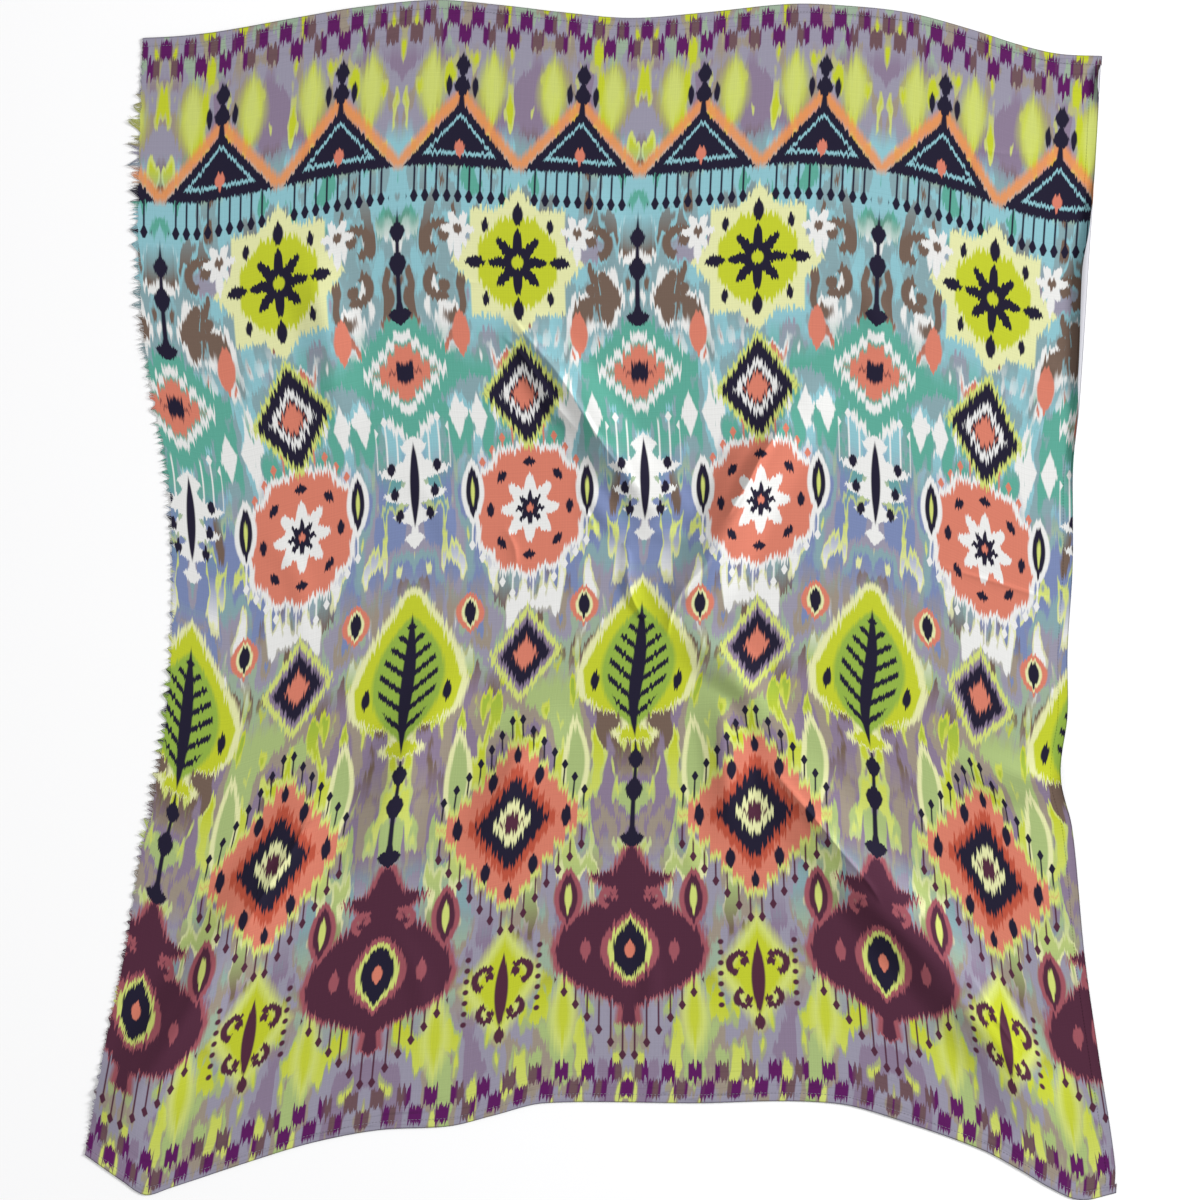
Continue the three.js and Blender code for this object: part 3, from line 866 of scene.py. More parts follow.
class Value:
    """A number that varies over a surface: its expressions add Math nodes to the material."""

    def __init__(self, recipe, socket):
        self.recipe = recipe
        self.socket = socket

    def maths(self, operation, *others, clamp=False):
        node = self.recipe.node("ShaderNodeMath", {"operation": operation, "use_clamp": clamp},
                                dict(enumerate((self, *others))))
        return Value(self.recipe, node.outputs[0])

    def __add__(self, other):
        return self.maths("ADD", other)

    __radd__ = __add__

    def __sub__(self, other):
        return self.maths("SUBTRACT", other)

    def __rsub__(self, other):
        return self.times_plus(-1, other)

    def __mul__(self, other):
        return self.maths("MULTIPLY", other)

    __rmul__ = __mul__

    def __truediv__(self, other):
        return self * (1 / other)

    def __abs__(self):
        return self.maths("ABSOLUTE")

    def times_plus(self, factor, addend):
        return self.maths("MULTIPLY_ADD", factor, addend)

    def smaller(self, other):
        return self.maths("MINIMUM", other)

    def larger(self, other):
        return self.maths("MAXIMUM", other)

    def back_and_forth(self, half_period):
        """Rises from 0 to half_period and falls back to 0, over and over."""
        return self.maths("PINGPONG", half_period)

    def inside(self, softness):
        """1 where the value is below 0 and 0 where it is above, softened over softness."""
        return self.maths("MULTIPLY_ADD", -1 / softness, 0.5, clamp=True)


class Recipe:
    """A material's node tree, filled from expressions."""

    def __init__(self, name):
        self.material = bpy.data.materials.new(name)
        self.material.use_nodes = True
        self.tree = self.material.node_tree
        self.tree.nodes.clear()

    def node(self, kind, settings, values):
        """Adds a node: its settings first, then the values or links of its sockets."""
        made = self.tree.nodes.new(kind)
        for name, setting in settings.items():
            if name == "stops":
                self.fill_ramp(made.color_ramp, setting)
            elif name == "points":
                self.fill_curve(made.mapping, setting)
            else:
                setattr(made, name, setting)
        for place, item in values.items():
            socket = made.inputs[place]
            if isinstance(item, Value):
                self.tree.links.new(item.socket, socket)
            else:
                socket.default_value = item
        return made

    def fill_ramp(self, ramp, stops):
        """Gives a colour ramp its stops: pairs of a position and a colour."""
        for number, (place, colour) in enumerate(stops):
            element = ramp.elements[number] if number < 2 else ramp.elements.new(place)
            element.position = place
            element.color = self.rgba(colour)

    @staticmethod
    def fill_curve(mapping, points):
        """Gives a curve its points, joined by straight lines and level beyond its ends."""
        mapping.extend = "HORIZONTAL"
        curve = mapping.curves[0]
        curve.points[0].location = points[0]
        curve.points[1].location = points[-1]
        for point in points[1:-1]:
            curve.points.new(*point)
        for point in curve.points:
            point.handle_type = "VECTOR"
        mapping.update()

    def value(self, kind, settings, values, output):
        return Value(self, self.node(kind, settings, values).outputs[output])

    def mixed(self, mask, under, over, blend="MIX"):
        """The colour under, with the colour over laid on it where the mask is 1."""
        colours = {0: mask, 6: self.rgba(under), 7: self.rgba(over)}
        settings = {"data_type": "RGBA", "blend_type": blend}
        return self.value("ShaderNodeMix", settings, colours, 2)

    @staticmethod
    def rgba(colour):
        return colour if isinstance(colour, Value) else (*colour, 1)

    def ramp(self, position, stops):
        """A colour that changes along a row of stops."""
        return self.value("ShaderNodeValToRGB", {"stops": stops}, {0: position}, 0)

    def noise(self, dimensions, place, scale, detail, roughness=0.5):
        socket = "W" if dimensions == "1D" else "Vector"
        values = {socket: place, "Scale": scale, "Detail": detail, "Roughness": roughness}
        return self.value("ShaderNodeTexNoise", {"noise_dimensions": dimensions}, values, 0)

    def object_spot(self):
        """The place in the object's own coordinates."""
        return self.value("ShaderNodeTexCoord", {}, {}, "Object")

    def cloth_spot(self):
        """The place on the flat cloth: its UV map, and each part of that in millimetres."""
        uv = self.value("ShaderNodeUVMap", {"uv_map": "cloth"}, {}, 0)
        split = self.node("ShaderNodeSeparateXYZ", {}, {0: uv})
        return uv, Value(self, split.outputs[0]) / MM, Value(self, split.outputs[1]) / MM

    def surface(self, values):
        """Ends the material in a surface with these values."""
        surface = self.node("ShaderNodeBsdfPrincipled", {}, values)
        output = self.node("ShaderNodeOutputMaterial", {}, {})
        self.tree.links.new(surface.outputs[0], output.inputs[0])
        return self.material


# The print. Sizes are in millimetres of the flat cloth: u runs from the frayed side to the right
# hem and v from the foot to the head. The design is mirrored on upright axes. Its motifs stand on
# the main axes or on the side axes half way between those, and small ones between both.
# REPEAT_START is how far outside the frayed side a main axis stands.
HALF_REPEAT = 242.0
COLUMN = HALF_REPEAT / 2
REPEAT_START = 218.0
LENGTH = CUT_LENGTH / MM

# Where each length of the print begins and ends. Each length has a material of its own, with the
# motifs that reach into it, and they join without a seam. STRAY is how far the dyes of a motif
# may run beyond its ends.
PRINT_LENGTHS = (0, 175, 330, 500, 660, 800, 945, 1130)
STRAY = 16.0

# The ground in bands from foot to head: where a band starts and over how long it blends in, which
# of two noises breaks it up, and the dyes along that noise.
GROUND = (
    (0, 1, "broad", (
        (0, "mauve"), (0.41, "lavender"), (0.55, "greige"), (0.62, "sage"))),
    (112, 46, "narrow", (
        (0, "mauve"), (0.4, "lavender"), (0.52, "greige"), (0.6, "grey_green"))),
    (205, 40, "broad", (
        (0, "greige"), (0.4, "lavender"), (0.5, "blue_grey"), (0.59, "grey_green"))),
    (262, 36, "narrow", (
        (0, "mauve"), (0.42, "greige"), (0.5, "mauve"), (0.58, "sage"))),
    (352, 40, "broad", (
        (0, "taupe"), (0.4, "mauve"), (0.5, "greige"), (0.6, "sage"))),
    (455, 40, "narrow", (
        (0, "periwinkle"), (0.39, "greige"), (0.47, "lavender"), (0.56, "grey_green"),
        (0.64, "taupe"))),
    (545, 44, "broad", (
        (0, "taupe"), (0.37, "periwinkle"), (0.48, "blue_grey"), (0.56, "lavender"),
        (0.63, "periwinkle"))),
    (668, 50, "narrow", (
        (0, "teal"), (0.4, "blue_grey"), (0.5, "turquoise"), (0.62, "white"))),
    (788, 50, "broad", (
        (0, "taupe"), (0.35, "white"), (0.41, "blue_grey"), (0.5, "turquoise"),
        (0.6, "lavender"))),
    (905, 40, "narrow", (
        (0, "taupe"), (0.35, "blue_grey"), (0.46, "turquoise"), (0.62, "teal"))),
    (1000, 24, "broad", (
        (0, "mauve"), (0.4, "lavender"), (0.52, "greige"), (0.6, "lavender"))),
    (1082, 22, "narrow", ((0, "grey_green"), (0.42, "lavender"), (0.6, "greige"))),
)
GROUND_BLUR = 0.008

# How far the blending of two bands runs past their border at most.
BAND_OVERLAP = 26

# The two noises: the name, the width and height of a patch in millimetres, and a shift.
GROUND_NOISES = (("broad", 46, 96, 3.7), ("narrow", 31, 74, 41.3))

# Blotches that lie over the ground: the dyes of their edges and of their hearts from foot to head.
BLOTCHES = (
    (0, "greige", "pale_lime"), (110, "sage", "lime"), (180, "mauve", "taupe"),
    (230, "pale_yellow", "sage"), (300, "sage", "pale_lime"), (380, "pale_lime", "lime"),
    (450, "lime", "green"), (505, "lavender", "white"), (555, "pale_yellow", "white"),
    (600, "pale_lime", "periwinkle"), (680, "blue_grey", "teal"), (730, "teal", "teal"),
    (775, "white", "coral"), (820, "blue_grey", "taupe"), (900, "turquoise", "taupe"),
    (960, "turquoise", "blue_grey"), (1000, "pale_lime", "lime"), (1130, "greige", "lime"),
)

# The level of the blotches' noise from which the dye of a column of that table shows, how soft
# its edge is, and the width and height of a blotch.
BLOTCH_LEVELS = ((0.57, 1), (0.63, 2))
BLOTCH_EDGE = 0.03
BLOTCH_SIZE = (19, 56)

# Motifs that are the same on both sides of their axis: pairs of a height above the motif's start
# and a half width, which is below 0 where the motif ends.
POMEGRANATE = (
    (0, -14), (7, 7), (24, 5), (32, 18), (44, 44), (62, 65), (84, 71), (108, 63), (128, 40),
    (140, 19), (148, 22), (162, 40), (166, 16), (178, 9), (190, 4), (202, -14),
)
ROD = (
    (0, -2), (6, 9), (13, 12), (18, 4), (24, 2.6), (50, 2.2), (56, 7), (62, 9), (68, 7), (74, 2),
    (84, 1.8), (89, 6), (94, 8), (99, 6), (104, 1.6), (134, -2),
)
TREE = (
    (0, -14), (6, 15), (13, 17), (18, 5), (30, 5), (36, 34), (50, 51), (76, 57), (104, 46),
    (130, 30), (150, 14), (162, 6), (180, -14),
)
STEM = (
    (0, -3), (5, 3.2), (14, 2.2), (19, 6.5), (25, 8.5), (30, 5), (34, 2), (40, 5.5), (45, 7.5),
    (50, 4.5), (55, 1.6), (64, -3),
)
SHEAF = (
    (0, -4), (5, 4), (12, 11), (18, 4), (25, 3), (30, 16), (36, 24), (41, 8), (46, 6), (52, 28),
    (58, 34), (64, 12), (69, 9), (76, 33), (82, 38), (89, 12), (95, 8), (104, 14), (118, -4),
)

# The combs' spacing, the steps in half a stepped lozenge, and how much taller than wide the
# rounds, the stars and their rosettes are.
COMB_PITCH = 11.0
LOZENGE_STEPS = 7
TALLER = 1.12

# How soft the edges of the motifs are: in millimetres, and as a share of a lozenge's size.
LINE_EDGE = 1.0
FINE_EDGE = 1.4
EDGE = 1.6
SHARE_EDGE = 0.06

# The turned edges of the cloth are painted darker over this width, by this share: painted shade.
RIM_SHADE_WIDTH = 0.9
RIM_SHADE = 0.5


class Print:
    """Lays the motifs of one length of the print on one another, from the ground up."""

    def __init__(self, recipe, colours, feather, start, stop):
        self.recipe = recipe
        self.colours = colours
        self.start = start
        self.stop = stop
        _, self.u, self.v = recipe.cloth_spot()

        # Distances from every second main axis, the nearest side axis, the nearest main axis, and
        # the line half way between those two.
        self.wide = (self.u + REPEAT_START).back_and_forth(HALF_REPEAT)
        self.side = abs(self.wide - COLUMN)
        self.main = COLUMN - self.side
        self.between = abs(self.side - COLUMN / 2)

        # Heights whose edges run far along the threads, less far, and in wide waves.
        run = feather / MM
        fine = recipe.noise("1D", self.wide, 0.4, 2, 0.65) - 0.5
        coarse = recipe.noise("1D", self.wide + 517, 0.1, 1) - 0.5
        self.feathered = fine.times_plus(2 * run, self.v)
        self.crisp = fine.times_plus(0.9 * run, self.v)
        self.drifted = coarse.times_plus(1.8 * run, fine.times_plus(-1.2 * run, self.v))
        self.aside = COMB_PITCH / 2 - self.main.back_and_forth(COMB_PITCH / 2)
        self.colour = None

    def reaches(self, low, high):
        """Whether a motif from low to high shows in this length."""
        return low - STRAY < self.stop and high + STRAY > self.start

    def dye(self, name):
        """A dye's colour."""
        return tuple(getattr(self.colours, name))

    def spot(self, x, y):
        """A place for a noise."""
        return self.recipe.value("ShaderNodeCombineXYZ", {}, {0: x, 1: y}, 0)

    def paint(self, mask, name):
        """Lays a dye on where the mask is 1."""
        self.colour = self.recipe.mixed(mask, self.colour, self.dye(name))

    def fill(self, shape, name, softness=FINE_EDGE):
        """Dyes what is inside a shape, which is where it is below 0."""
        self.paint(shape.inside(softness), name)

    def layers(self, shape, *rows):
        """Dyes a shape and smaller ones in it: rows of an inset, a softness, a dye and a share."""
        for inset, softness, name, *share in rows:
            mask = (shape + inset if inset else shape).inside(softness)
            self.paint(mask * share[0] if share else mask, name)

    def leaves(self, name, *rows):
        """Dyes pointed ovals: rows of x, y, half width and half height."""
        for row in rows:
            self.fill(self.leaf(*row), name)

    def lozenge(self, x, y, half_width, half_height):
        """Below 0 inside a lozenge, where x and y are distances from its middle."""
        return y.times_plus(1 / half_height, x.times_plus(1 / half_width, -1))

    def stepped(self, x, y, half_width, half_height):
        """Below 0 inside a lozenge whose sides go up in steps."""
        step = half_width / LOZENGE_STEPS
        snapped = (x / step).maths("FLOOR")
        return y.times_plus(1 / half_height, snapped.times_plus(1 / LOZENGE_STEPS, -1))

    def leaf(self, x, y, half_width, half_height):
        """Below 0 inside a pointed oval, in millimetres."""
        tall = y / half_height
        return tall.times_plus(tall * half_width, x - half_width)

    def round(self, x, y):
        """The distance from a point."""
        return x.times_plus(x, y * y).maths("SQRT")

    def rosette(self, x, y, radius, depth, petals):
        """Below 0 inside a rosette, in millimetres."""
        turn = y.maths("ARCTAN2", x) * petals
        return turn.maths("COSINE").times_plus(-depth, self.round(x, y) - radius)

    def figure(self, x, y, points):
        """Below 0 inside a motif whose half widths a table gives, in millimetres."""
        height = points[-1][0]
        least = min(half for _, half in points)
        span = max(half for _, half in points) - least
        shares = [(level / height, (half - least) / span) for level, half in points]
        curve = self.recipe.value("ShaderNodeFloatCurve", {"points": shares}, {1: y / height}, 0)
        return curve.times_plus(-span, x - least)

    def hook(self, x, y, radius, width, name):
        """A hook: most of a ring, open on one side, with a blunt end."""
        band = abs(self.round(x, y) - radius) - width
        opening = y.times_plus(-0.5, x * -1) - radius * 0.3
        end = self.round(x + radius * 0.45, y - radius * 0.2) - width * 1.3
        self.fill(band.larger(opening).smaller(end), name)

    def comb(self, x, place, half_width, half_height, way, length, name):
        """Straight lines with a drop at the end, which leave a motif's upper or lower side."""
        cell = (x / COMB_PITCH).maths("FLOOR")
        out = self.v.times_plus(way, -place * way)
        first = half_height * (1 - COMB_PITCH / (2 * half_width)) + length
        fall = half_height * COMB_PITCH / half_width
        past = cell.times_plus(fall, out - first)
        swelling = abs(past + 5).times_plus(-0.55, 2.6).larger(0)
        line = (self.aside - swelling - 0.85).larger(past).larger(out * -1).larger(x - half_width)
        self.fill(line, name, LINE_EDGE)

    def ground(self):
        """The bands of dye and their blotches, which the motifs lie on."""
        noises = {}
        for name, width, height, shift in GROUND_NOISES:
            spot = self.spot(self.wide.times_plus(1 / width, shift), self.feathered / height)
            noises[name] = self.recipe.noise("2D", spot, 1, 1.8)
        ends = [start for start, *_ in GROUND[1:]] + [LENGTH]
        for (start, blend, noise, dyes), end in zip(GROUND, ends):
            if not self.reaches(start - blend / 2, end + BAND_OVERLAP):
                continue
            stops = [(0, self.dye(dyes[0][1]))]
            for at, name in dyes[1:]:
                stops += [(at - GROUND_BLUR, stops[-1][1]), (at + GROUND_BLUR, self.dye(name))]
            band = self.recipe.ramp(noises[noise], stops)
            if self.colour is None:
                self.colour = band
            else:
                reached = (start - self.drifted).inside(blend)
                self.colour = self.recipe.mixed(reached, self.colour, band)
        width, height = BLOTCH_SIZE
        spot = self.spot(self.wide / width, self.drifted / height)
        blotches = self.recipe.noise("2D", spot, 1, 1.6, 0.55)
        for threshold, column in BLOTCH_LEVELS:
            dyes = [(row[0] / LENGTH, self.dye(row[column])) for row in BLOTCHES]
            dye = self.recipe.ramp(self.v / LENGTH, dyes)
            mask = (threshold - blotches).inside(BLOTCH_EDGE)
            self.colour = self.recipe.mixed(mask, self.colour, dye)

    def foot_flames(self):
        flame = self.leaf(self.between, self.feathered - 92, 13, 46)
        self.layers(flame, (0, 8, "pale_lime", 0.9), (7, 6, "lime", 0.9))

    def rams_horns(self):
        """Plum horns on the side axes, on a lime glow, between the pomegranates."""
        y = self.crisp - 128
        level = abs(y - 8)
        self.fill(self.lozenge(self.side, level, 40, 62), "pale_lime", 0.3)
        self.fill(self.lozenge(self.side, level, 27, 46), "lime", 0.3)
        self.hook(self.side - 17, y - 16, 10, 3.4, "plum")
        self.hook(self.side - 13, y * -1 - 20, 8, 3, "plum")
        self.fill(self.leaf(self.side, y, 6.5, 38), "plum", EDGE)
        self.leaves("plum", (self.side, y + 46, 5, 9))
        dot = self.round(self.side - 35, (self.v - 96).back_and_forth(11) - 5.5) - 2.8
        self.fill(dot.larger(abs(self.v - 136) - 38), "plum")

    def pomegranates(self):
        """Plum pomegranates with a rose edge and a comb below, on the main axes."""
        self.comb(self.main, 160, 70, 84, -1, 38, "plum")
        y = self.feathered - 76
        self.layers(self.figure(self.main, y, POMEGRANATE), (-6, 5, "rose"), (0, EDGE, "plum"))
        heart = self.leaf(self.main, y - 84, 28, 40)
        self.layers(heart, (0, EDGE, "rose"), (7, EDGE, "pale_lime"), (12, EDGE, "navy"))
        level = self.crisp - 160
        self.leaves("coral", (self.main, level, 5, 10))
        self.leaves("rose", (abs(self.main - 42), abs(level), 5, 12))
        self.hook(self.main - 20, level - 54, 9, 2.8, "rose")

    def long_leaves(self):
        leaf = self.leaf(self.between, self.feathered - 352, 14, 54)
        self.layers(leaf, (0, 2, "pale_yellow"), (5, 2, "sage"))

    def coral_steps(self):
        """Coral stepped lozenges with navy and plum combs, on the side axes."""
        self.comb(self.side, 300, 77, 92, 1, 26, "navy")
        self.comb(self.side, 300, 77, 92, -1, 28, "plum")
        y = abs(self.feathered - 300)
        outline = self.stepped(self.side, y, 77, 92)
        self.layers(outline, (0.06, 0.05, "pale_lime"), (0.14, 0.04, "coral"))
        heart = self.stepped(self.side, y, 44, 58)
        self.layers(heart, (0, SHARE_EDGE, "deep_coral"), (0.22, SHARE_EDGE, "navy"),
                    (0.62, SHARE_EDGE, "pale_yellow"), (0.82, SHARE_EDGE, "plum"))
        y = abs(self.crisp - 300)
        self.leaves("navy", (abs(self.side - 24), abs(y - 46), 5, 11),
                    (self.side, abs(y - 70), 4, 9), (abs(self.side - 55), y, 5, 12))

    def plum_drops(self):
        """Plum almonds with a rose edge that hang in pairs between the axes."""
        drop = self.leaf(self.between, self.crisp - 214, 9, 26)
        self.layers(drop, (-5, 2, "rose"), (0, EDGE, "plum"), (5.5, FINE_EDGE, "pale_lime"))

    def rods(self):
        self.fill(self.figure(self.main, self.crisp - 266, ROD), "navy")

    def trees(self):
        """Lime trees with a green heart and navy branches, on the main axes."""
        shape = self.figure(self.main, self.feathered - 376, TREE)
        self.layers(shape, (-8, 4, "pale_yellow"), (0, 2, "lime"))
        middle = self.crisp - 456
        heart = self.leaf(self.main, middle, 38, 64)
        self.fill(heart, "green", 5)
        branch = self.main.times_plus(0.8, middle * -1).back_and_forth(8.5) - 3.2
        self.fill(branch.larger(heart + 7), "navy")
        self.leaves("navy", (self.main, middle + 4, 7, 70),
                    (abs(self.main - 43), middle + 14, 4.5, 11))

    def small_lozenges(self):
        lozenge = self.lozenge(self.side, abs(self.feathered - 474), 40, 50)
        self.layers(lozenge, (0, SHARE_EDGE, "pale_lime"), (0.18, SHARE_EDGE, "mauve"),
                    (0.32, SHARE_EDGE, "navy"), (0.66, 0.08, "coral"))
        spot = self.leaf(self.between, self.crisp - 520, 6, 13)
        self.layers(spot, (-9, 2, "coral"), (-3, EDGE, "pale_yellow"), (0, FINE_EDGE, "navy"))

    def coral_rounds(self):
        """Coral rounds with a white edge and a white rosette, on the side axes."""
        for way, dye in ((-1, "white"), (1, "coral")):
            self.comb(self.side, 622, 66, 74, way, 34, dye)
        crisp = (self.crisp - 622) / TALLER
        edge = self.rosette(self.side, (self.feathered - 622) / TALLER, 62, 2.6, 12)
        self.layers(edge, (0, 2, "white"), (6, 2, "coral"))
        away = self.round(self.side, crisp)
        turn = crisp.maths("ARCTAN2", self.side) * 8
        self.fill(turn.maths("COSINE").times_plus(-5, abs(away - 42) + 1), "navy")
        self.fill(self.rosette(self.side, crisp, 25, 6, 8), "white", EDGE)
        self.fill(self.rosette(self.side, crisp, 12, 3.5, 8), "navy", EDGE)
        self.fill(away - 3.6, "coral")

    def sheaves(self):
        """White sheaves of three pairs of leaves with a tall comb, on the main axes."""
        self.comb(self.main, 664, 38.5, 34, 1, 46, "white")
        y = self.crisp - 584
        self.fill(self.figure(self.main, y, SHEAF), "white", EDGE)
        self.leaves("navy", (self.main, y - 66, 5, 42))
        for x, level in ((16, 36), (21, 58), (24, 83)):
            self.leaves("navy", (abs(self.main - x), abs(y - level), 4.5, 7))
        almond = self.leaf(self.between, self.crisp - 640, 12, 34)
        self.layers(almond, (0, EDGE, "white"), (5, FINE_EDGE, "navy"),
                    (10, FINE_EDGE, "pale_lime"))

    def teal_steps(self):
        """Teal stepped lozenges on the main axes and small navy ones on the side axes."""
        large = self.stepped(self.main, abs(self.feathered - 762), 60, 62)
        self.fill(large, "teal", 0.05)
        self.fill(abs(large + 0.42) - 0.08, "white", 0.05)
        self.layers(large, (0.56, SHARE_EDGE, "coral"), (0.84, SHARE_EDGE, "navy"))
        small = self.stepped(self.side, abs(self.feathered - 738), 36, 48)
        self.layers(small, (-0.16, SHARE_EDGE, "pale_lime"), (0, SHARE_EDGE, "navy"))
        self.fill(abs(small + 0.5) - 0.09, "white", SHARE_EDGE)
        self.fill(small + 0.7, "coral", 0.08)
        tuft = self.lozenge(abs(self.between - 11), abs(self.crisp - 716), 9, 24)
        self.fill(tuft, "white", 0.16)

    def chains(self):
        self.fill(self.figure(self.main, self.crisp - 808, ROD), "navy")
        self.fill(self.leaf(self.between, self.crisp - 800, 9, 24), "coral", EDGE)

    def yellow_stars(self):
        """Pale yellow eight-pointed stars between taupe horns, on the side axes."""
        crisp = (self.crisp - 872) / TALLER
        y = abs(self.feathered - 872)
        level = abs(crisp)
        self.hook(self.side - 80, level - 20, 12, 4.4, "taupe")
        square = self.side.larger(y / TALLER) - 48
        turned = y.times_plus(0.63, self.side * 0.7071) - 48
        self.fill(square.smaller(turned), "pale_yellow", EDGE)
        self.fill(square.larger(turned) + 8, "lime", 2)
        self.fill(self.rosette(self.side, crisp, 22, 8, 8), "navy", EDGE)
        self.fill(self.round(self.side, crisp) - 6, "lime")
        self.leaves("navy", (self.side.smaller(level), abs(self.side.larger(level) - 43), 5.5, 11),
                    (abs(self.side - 33), abs(level - 33), 3.6, 7))

    def amulets(self):
        """Navy triangles with tassels below, an orange glow above and a stem at the top."""
        y = self.crisp - 966
        below = y * -1
        side_line = self.between.times_plus(1.15, y) - 64
        self.layers((abs(side_line - 8) - 8).larger(below), (0, 9, "orange", 0.9))
        past = (self.v - 930) * -1
        swelling = abs(past + 6).times_plus(-0.45, 3).larger(0)
        line = (self.aside - swelling - 1).larger(past).larger(y)
        self.fill(line.larger(self.between - 52), "navy", LINE_EDGE)
        self.layers(side_line.larger(below), (0, EDGE, "navy"), (11, FINE_EDGE, "turquoise"),
                    (14.5, FINE_EDGE, "navy"))
        self.leaves("coral", (self.between, y - 18, 5, 9))
        self.fill(self.figure(self.between, self.crisp - 1022, STEM), "navy")
        self.leaves("navy", (abs(self.between - 13), self.crisp - 1046, 3.2, 11))

    def white_rosettes(self):
        """White rosettes with a taupe heart and a drop below, between the stars' upper points."""
        crisp = (self.crisp - 904) / TALLER
        self.fill(self.rosette(self.between, crisp, 13, 4, 6), "white", EDGE)
        self.fill(self.round(self.between, crisp) - 4.5, "taupe")
        self.leaves("white", (self.between, abs(self.crisp - 884) - 2, 4, 10))

    def head_flames(self):
        flame = self.leaf(abs(self.between - COLUMN / 4), self.feathered - 1046, 14, 38)
        self.layers(flame, (0, 10, "lime", 0.75), (5, 8, "pale_lime", 0.8))

    def border(self):
        """Two rows of small purple blocks, one block of a row between two others."""
        from_end = LENGTH / 2 - abs(self.feathered - LENGTH / 2)
        step = self.main.back_and_forth(COLUMN / 10)
        lower = (step - 6.2).larger(abs(from_end - 14) - 9)
        upper = (5.9 - step).larger(abs(from_end - 32) - 9)
        blocks = lower.smaller(upper).inside(1.2)
        self.paint(blocks, "purple")
        shade = self.recipe.noise("1D", self.wide, 0.05, 1)
        self.paint(blocks * (0.54 - shade).inside(0.06) * 0.7, "taupe")

    def painted_wrinkle_shade(self):
        """Painted shade on fine lines beside the head and the foot: 1 on a line, 0 between them."""
        waves = self.recipe.noise("2D", self.spot(self.u / 120, self.v / 8), 1, 1)
        line = (abs(waves - 0.5) - 0.015).inside(0.04)
        from_end = self.v.smaller(LENGTH - self.v)
        return line * (from_end - 32).inside(30)

    def threads(self):
        """The slight unevenness of the yarns, painted shade on the rims and on the end wrinkles."""
        warp = self.recipe.noise("1D", self.u, 0.9, 1)
        weft = self.recipe.noise("1D", self.v, 0.7, 1)
        to_rim = self.v.smaller(LENGTH - self.v).smaller(CUT_WIDTH / MM - self.u)
        shade = (warp + weft).times_plus(0.11, 0.79)
        # Painted shade: the colour is darkened next to the cloth's rims.
        shade = shade * (to_rim - RIM_SHADE_WIDTH).inside(0.5).times_plus(-RIM_SHADE, 1)
        if self.reaches(0, 50) or self.reaches(LENGTH - 50, LENGTH):
            # Painted shade: the fine wrinkle lines near both ends are darkened.
            shade = shade * self.painted_wrinkle_shade().times_plus(-0.2, 1)
        self.colour = self.recipe.value(
            "ShaderNodeVectorMath", {"operation": "SCALE"}, {0: self.colour, "Scale": shade}, 0)

    def whole(self):
        self.ground()
        for low, high, motif in (
            (40, 144, self.foot_flames), (70, 200, self.rams_horns), (296, 408, self.long_leaves),
            (38, 280, self.pomegranates), (184, 240, self.plum_drops),
            (180, 422, self.coral_steps), (266, 400, self.rods), (372, 558, self.trees),
            (424, 540, self.small_lozenges), (514, 730, self.coral_rounds),
            (584, 748, self.sheaves), (690, 826, self.teal_steps), (778, 942, self.chains),
            (812, 934, self.yellow_stars), (868, 926, self.white_rosettes),
            (1004, 1088, self.head_flames), (926, 1090, self.amulets),
            (0, 50, self.border), (1080, 1130, self.border),
        ):
            if self.reaches(low, high):
                motif()
        self.threads()
        return self.colour


def print_length(v):
    """The number of the print's length at places along the cloth, in metres from the foot."""
    return np.clip(np.searchsorted(np.array(PRINT_LENGTHS) * MM, v) - 1, 0, len(PRINT_LENGTHS) - 2)


# The spacing and the depth of the weave, in millimetres.
WEAVE_PITCH = 0.8
WEAVE_DEPTH = 0.05
WEAVE_SHOWS = 0.2
REVERSE_WEAVE_SHOWS = 0.4
CLOTH_SHEEN = 0.06
THREAD_SHEEN = 0.1


def weave_bump(recipe, u, v, strength):
    """The plain weave of the cloth, as a bump."""
    turns = 2 * math.pi / WEAVE_PITCH
    crossing = (u * turns).maths("SINE") * (v * turns).maths("SINE")
    values = {"Height": crossing, "Strength": strength, "Distance": WEAVE_DEPTH * MM}
    return recipe.value("ShaderNodeBump", {}, values, 0)


def finish_cloth(recipe, colour, sheen, **values):
    """Gives a material the surface of cloth, in this colour."""
    values.update({
        "Base Color": colour, "Roughness": 0.82, "Specular IOR Level": 0.18,
        "Sheen Weight": sheen, "Sheen Roughness": 0.5,
    })
    return recipe.surface(values)


def print_materials(scene):
    """The print's materials, one for each of its lengths."""
    made = []
    for number, (start, stop) in enumerate(zip(PRINT_LENGTHS, PRINT_LENGTHS[1:])):
        name = "ikat_print_" + str(number + 1)
        if name not in bpy.data.materials:
            recipe = Recipe(name)
            feather = scene.scarf_sizes.ikat_feather
            design = Print(recipe, scene.scarf_colours, feather, start, stop)
            colour = design.whole()
            weave = weave_bump(recipe, design.u, design.v, WEAVE_SHOWS)
            finish_cloth(recipe, colour, CLOTH_SHEEN, Normal=weave)
        made.append(bpy.data.materials[name])
    return made


# The line on the flat cloth where the right hem's roll turns back, and the half width of the
# painted shade along it.
ROLL_LINE = 973.4
ROLL_LINE_HALF = 1.6


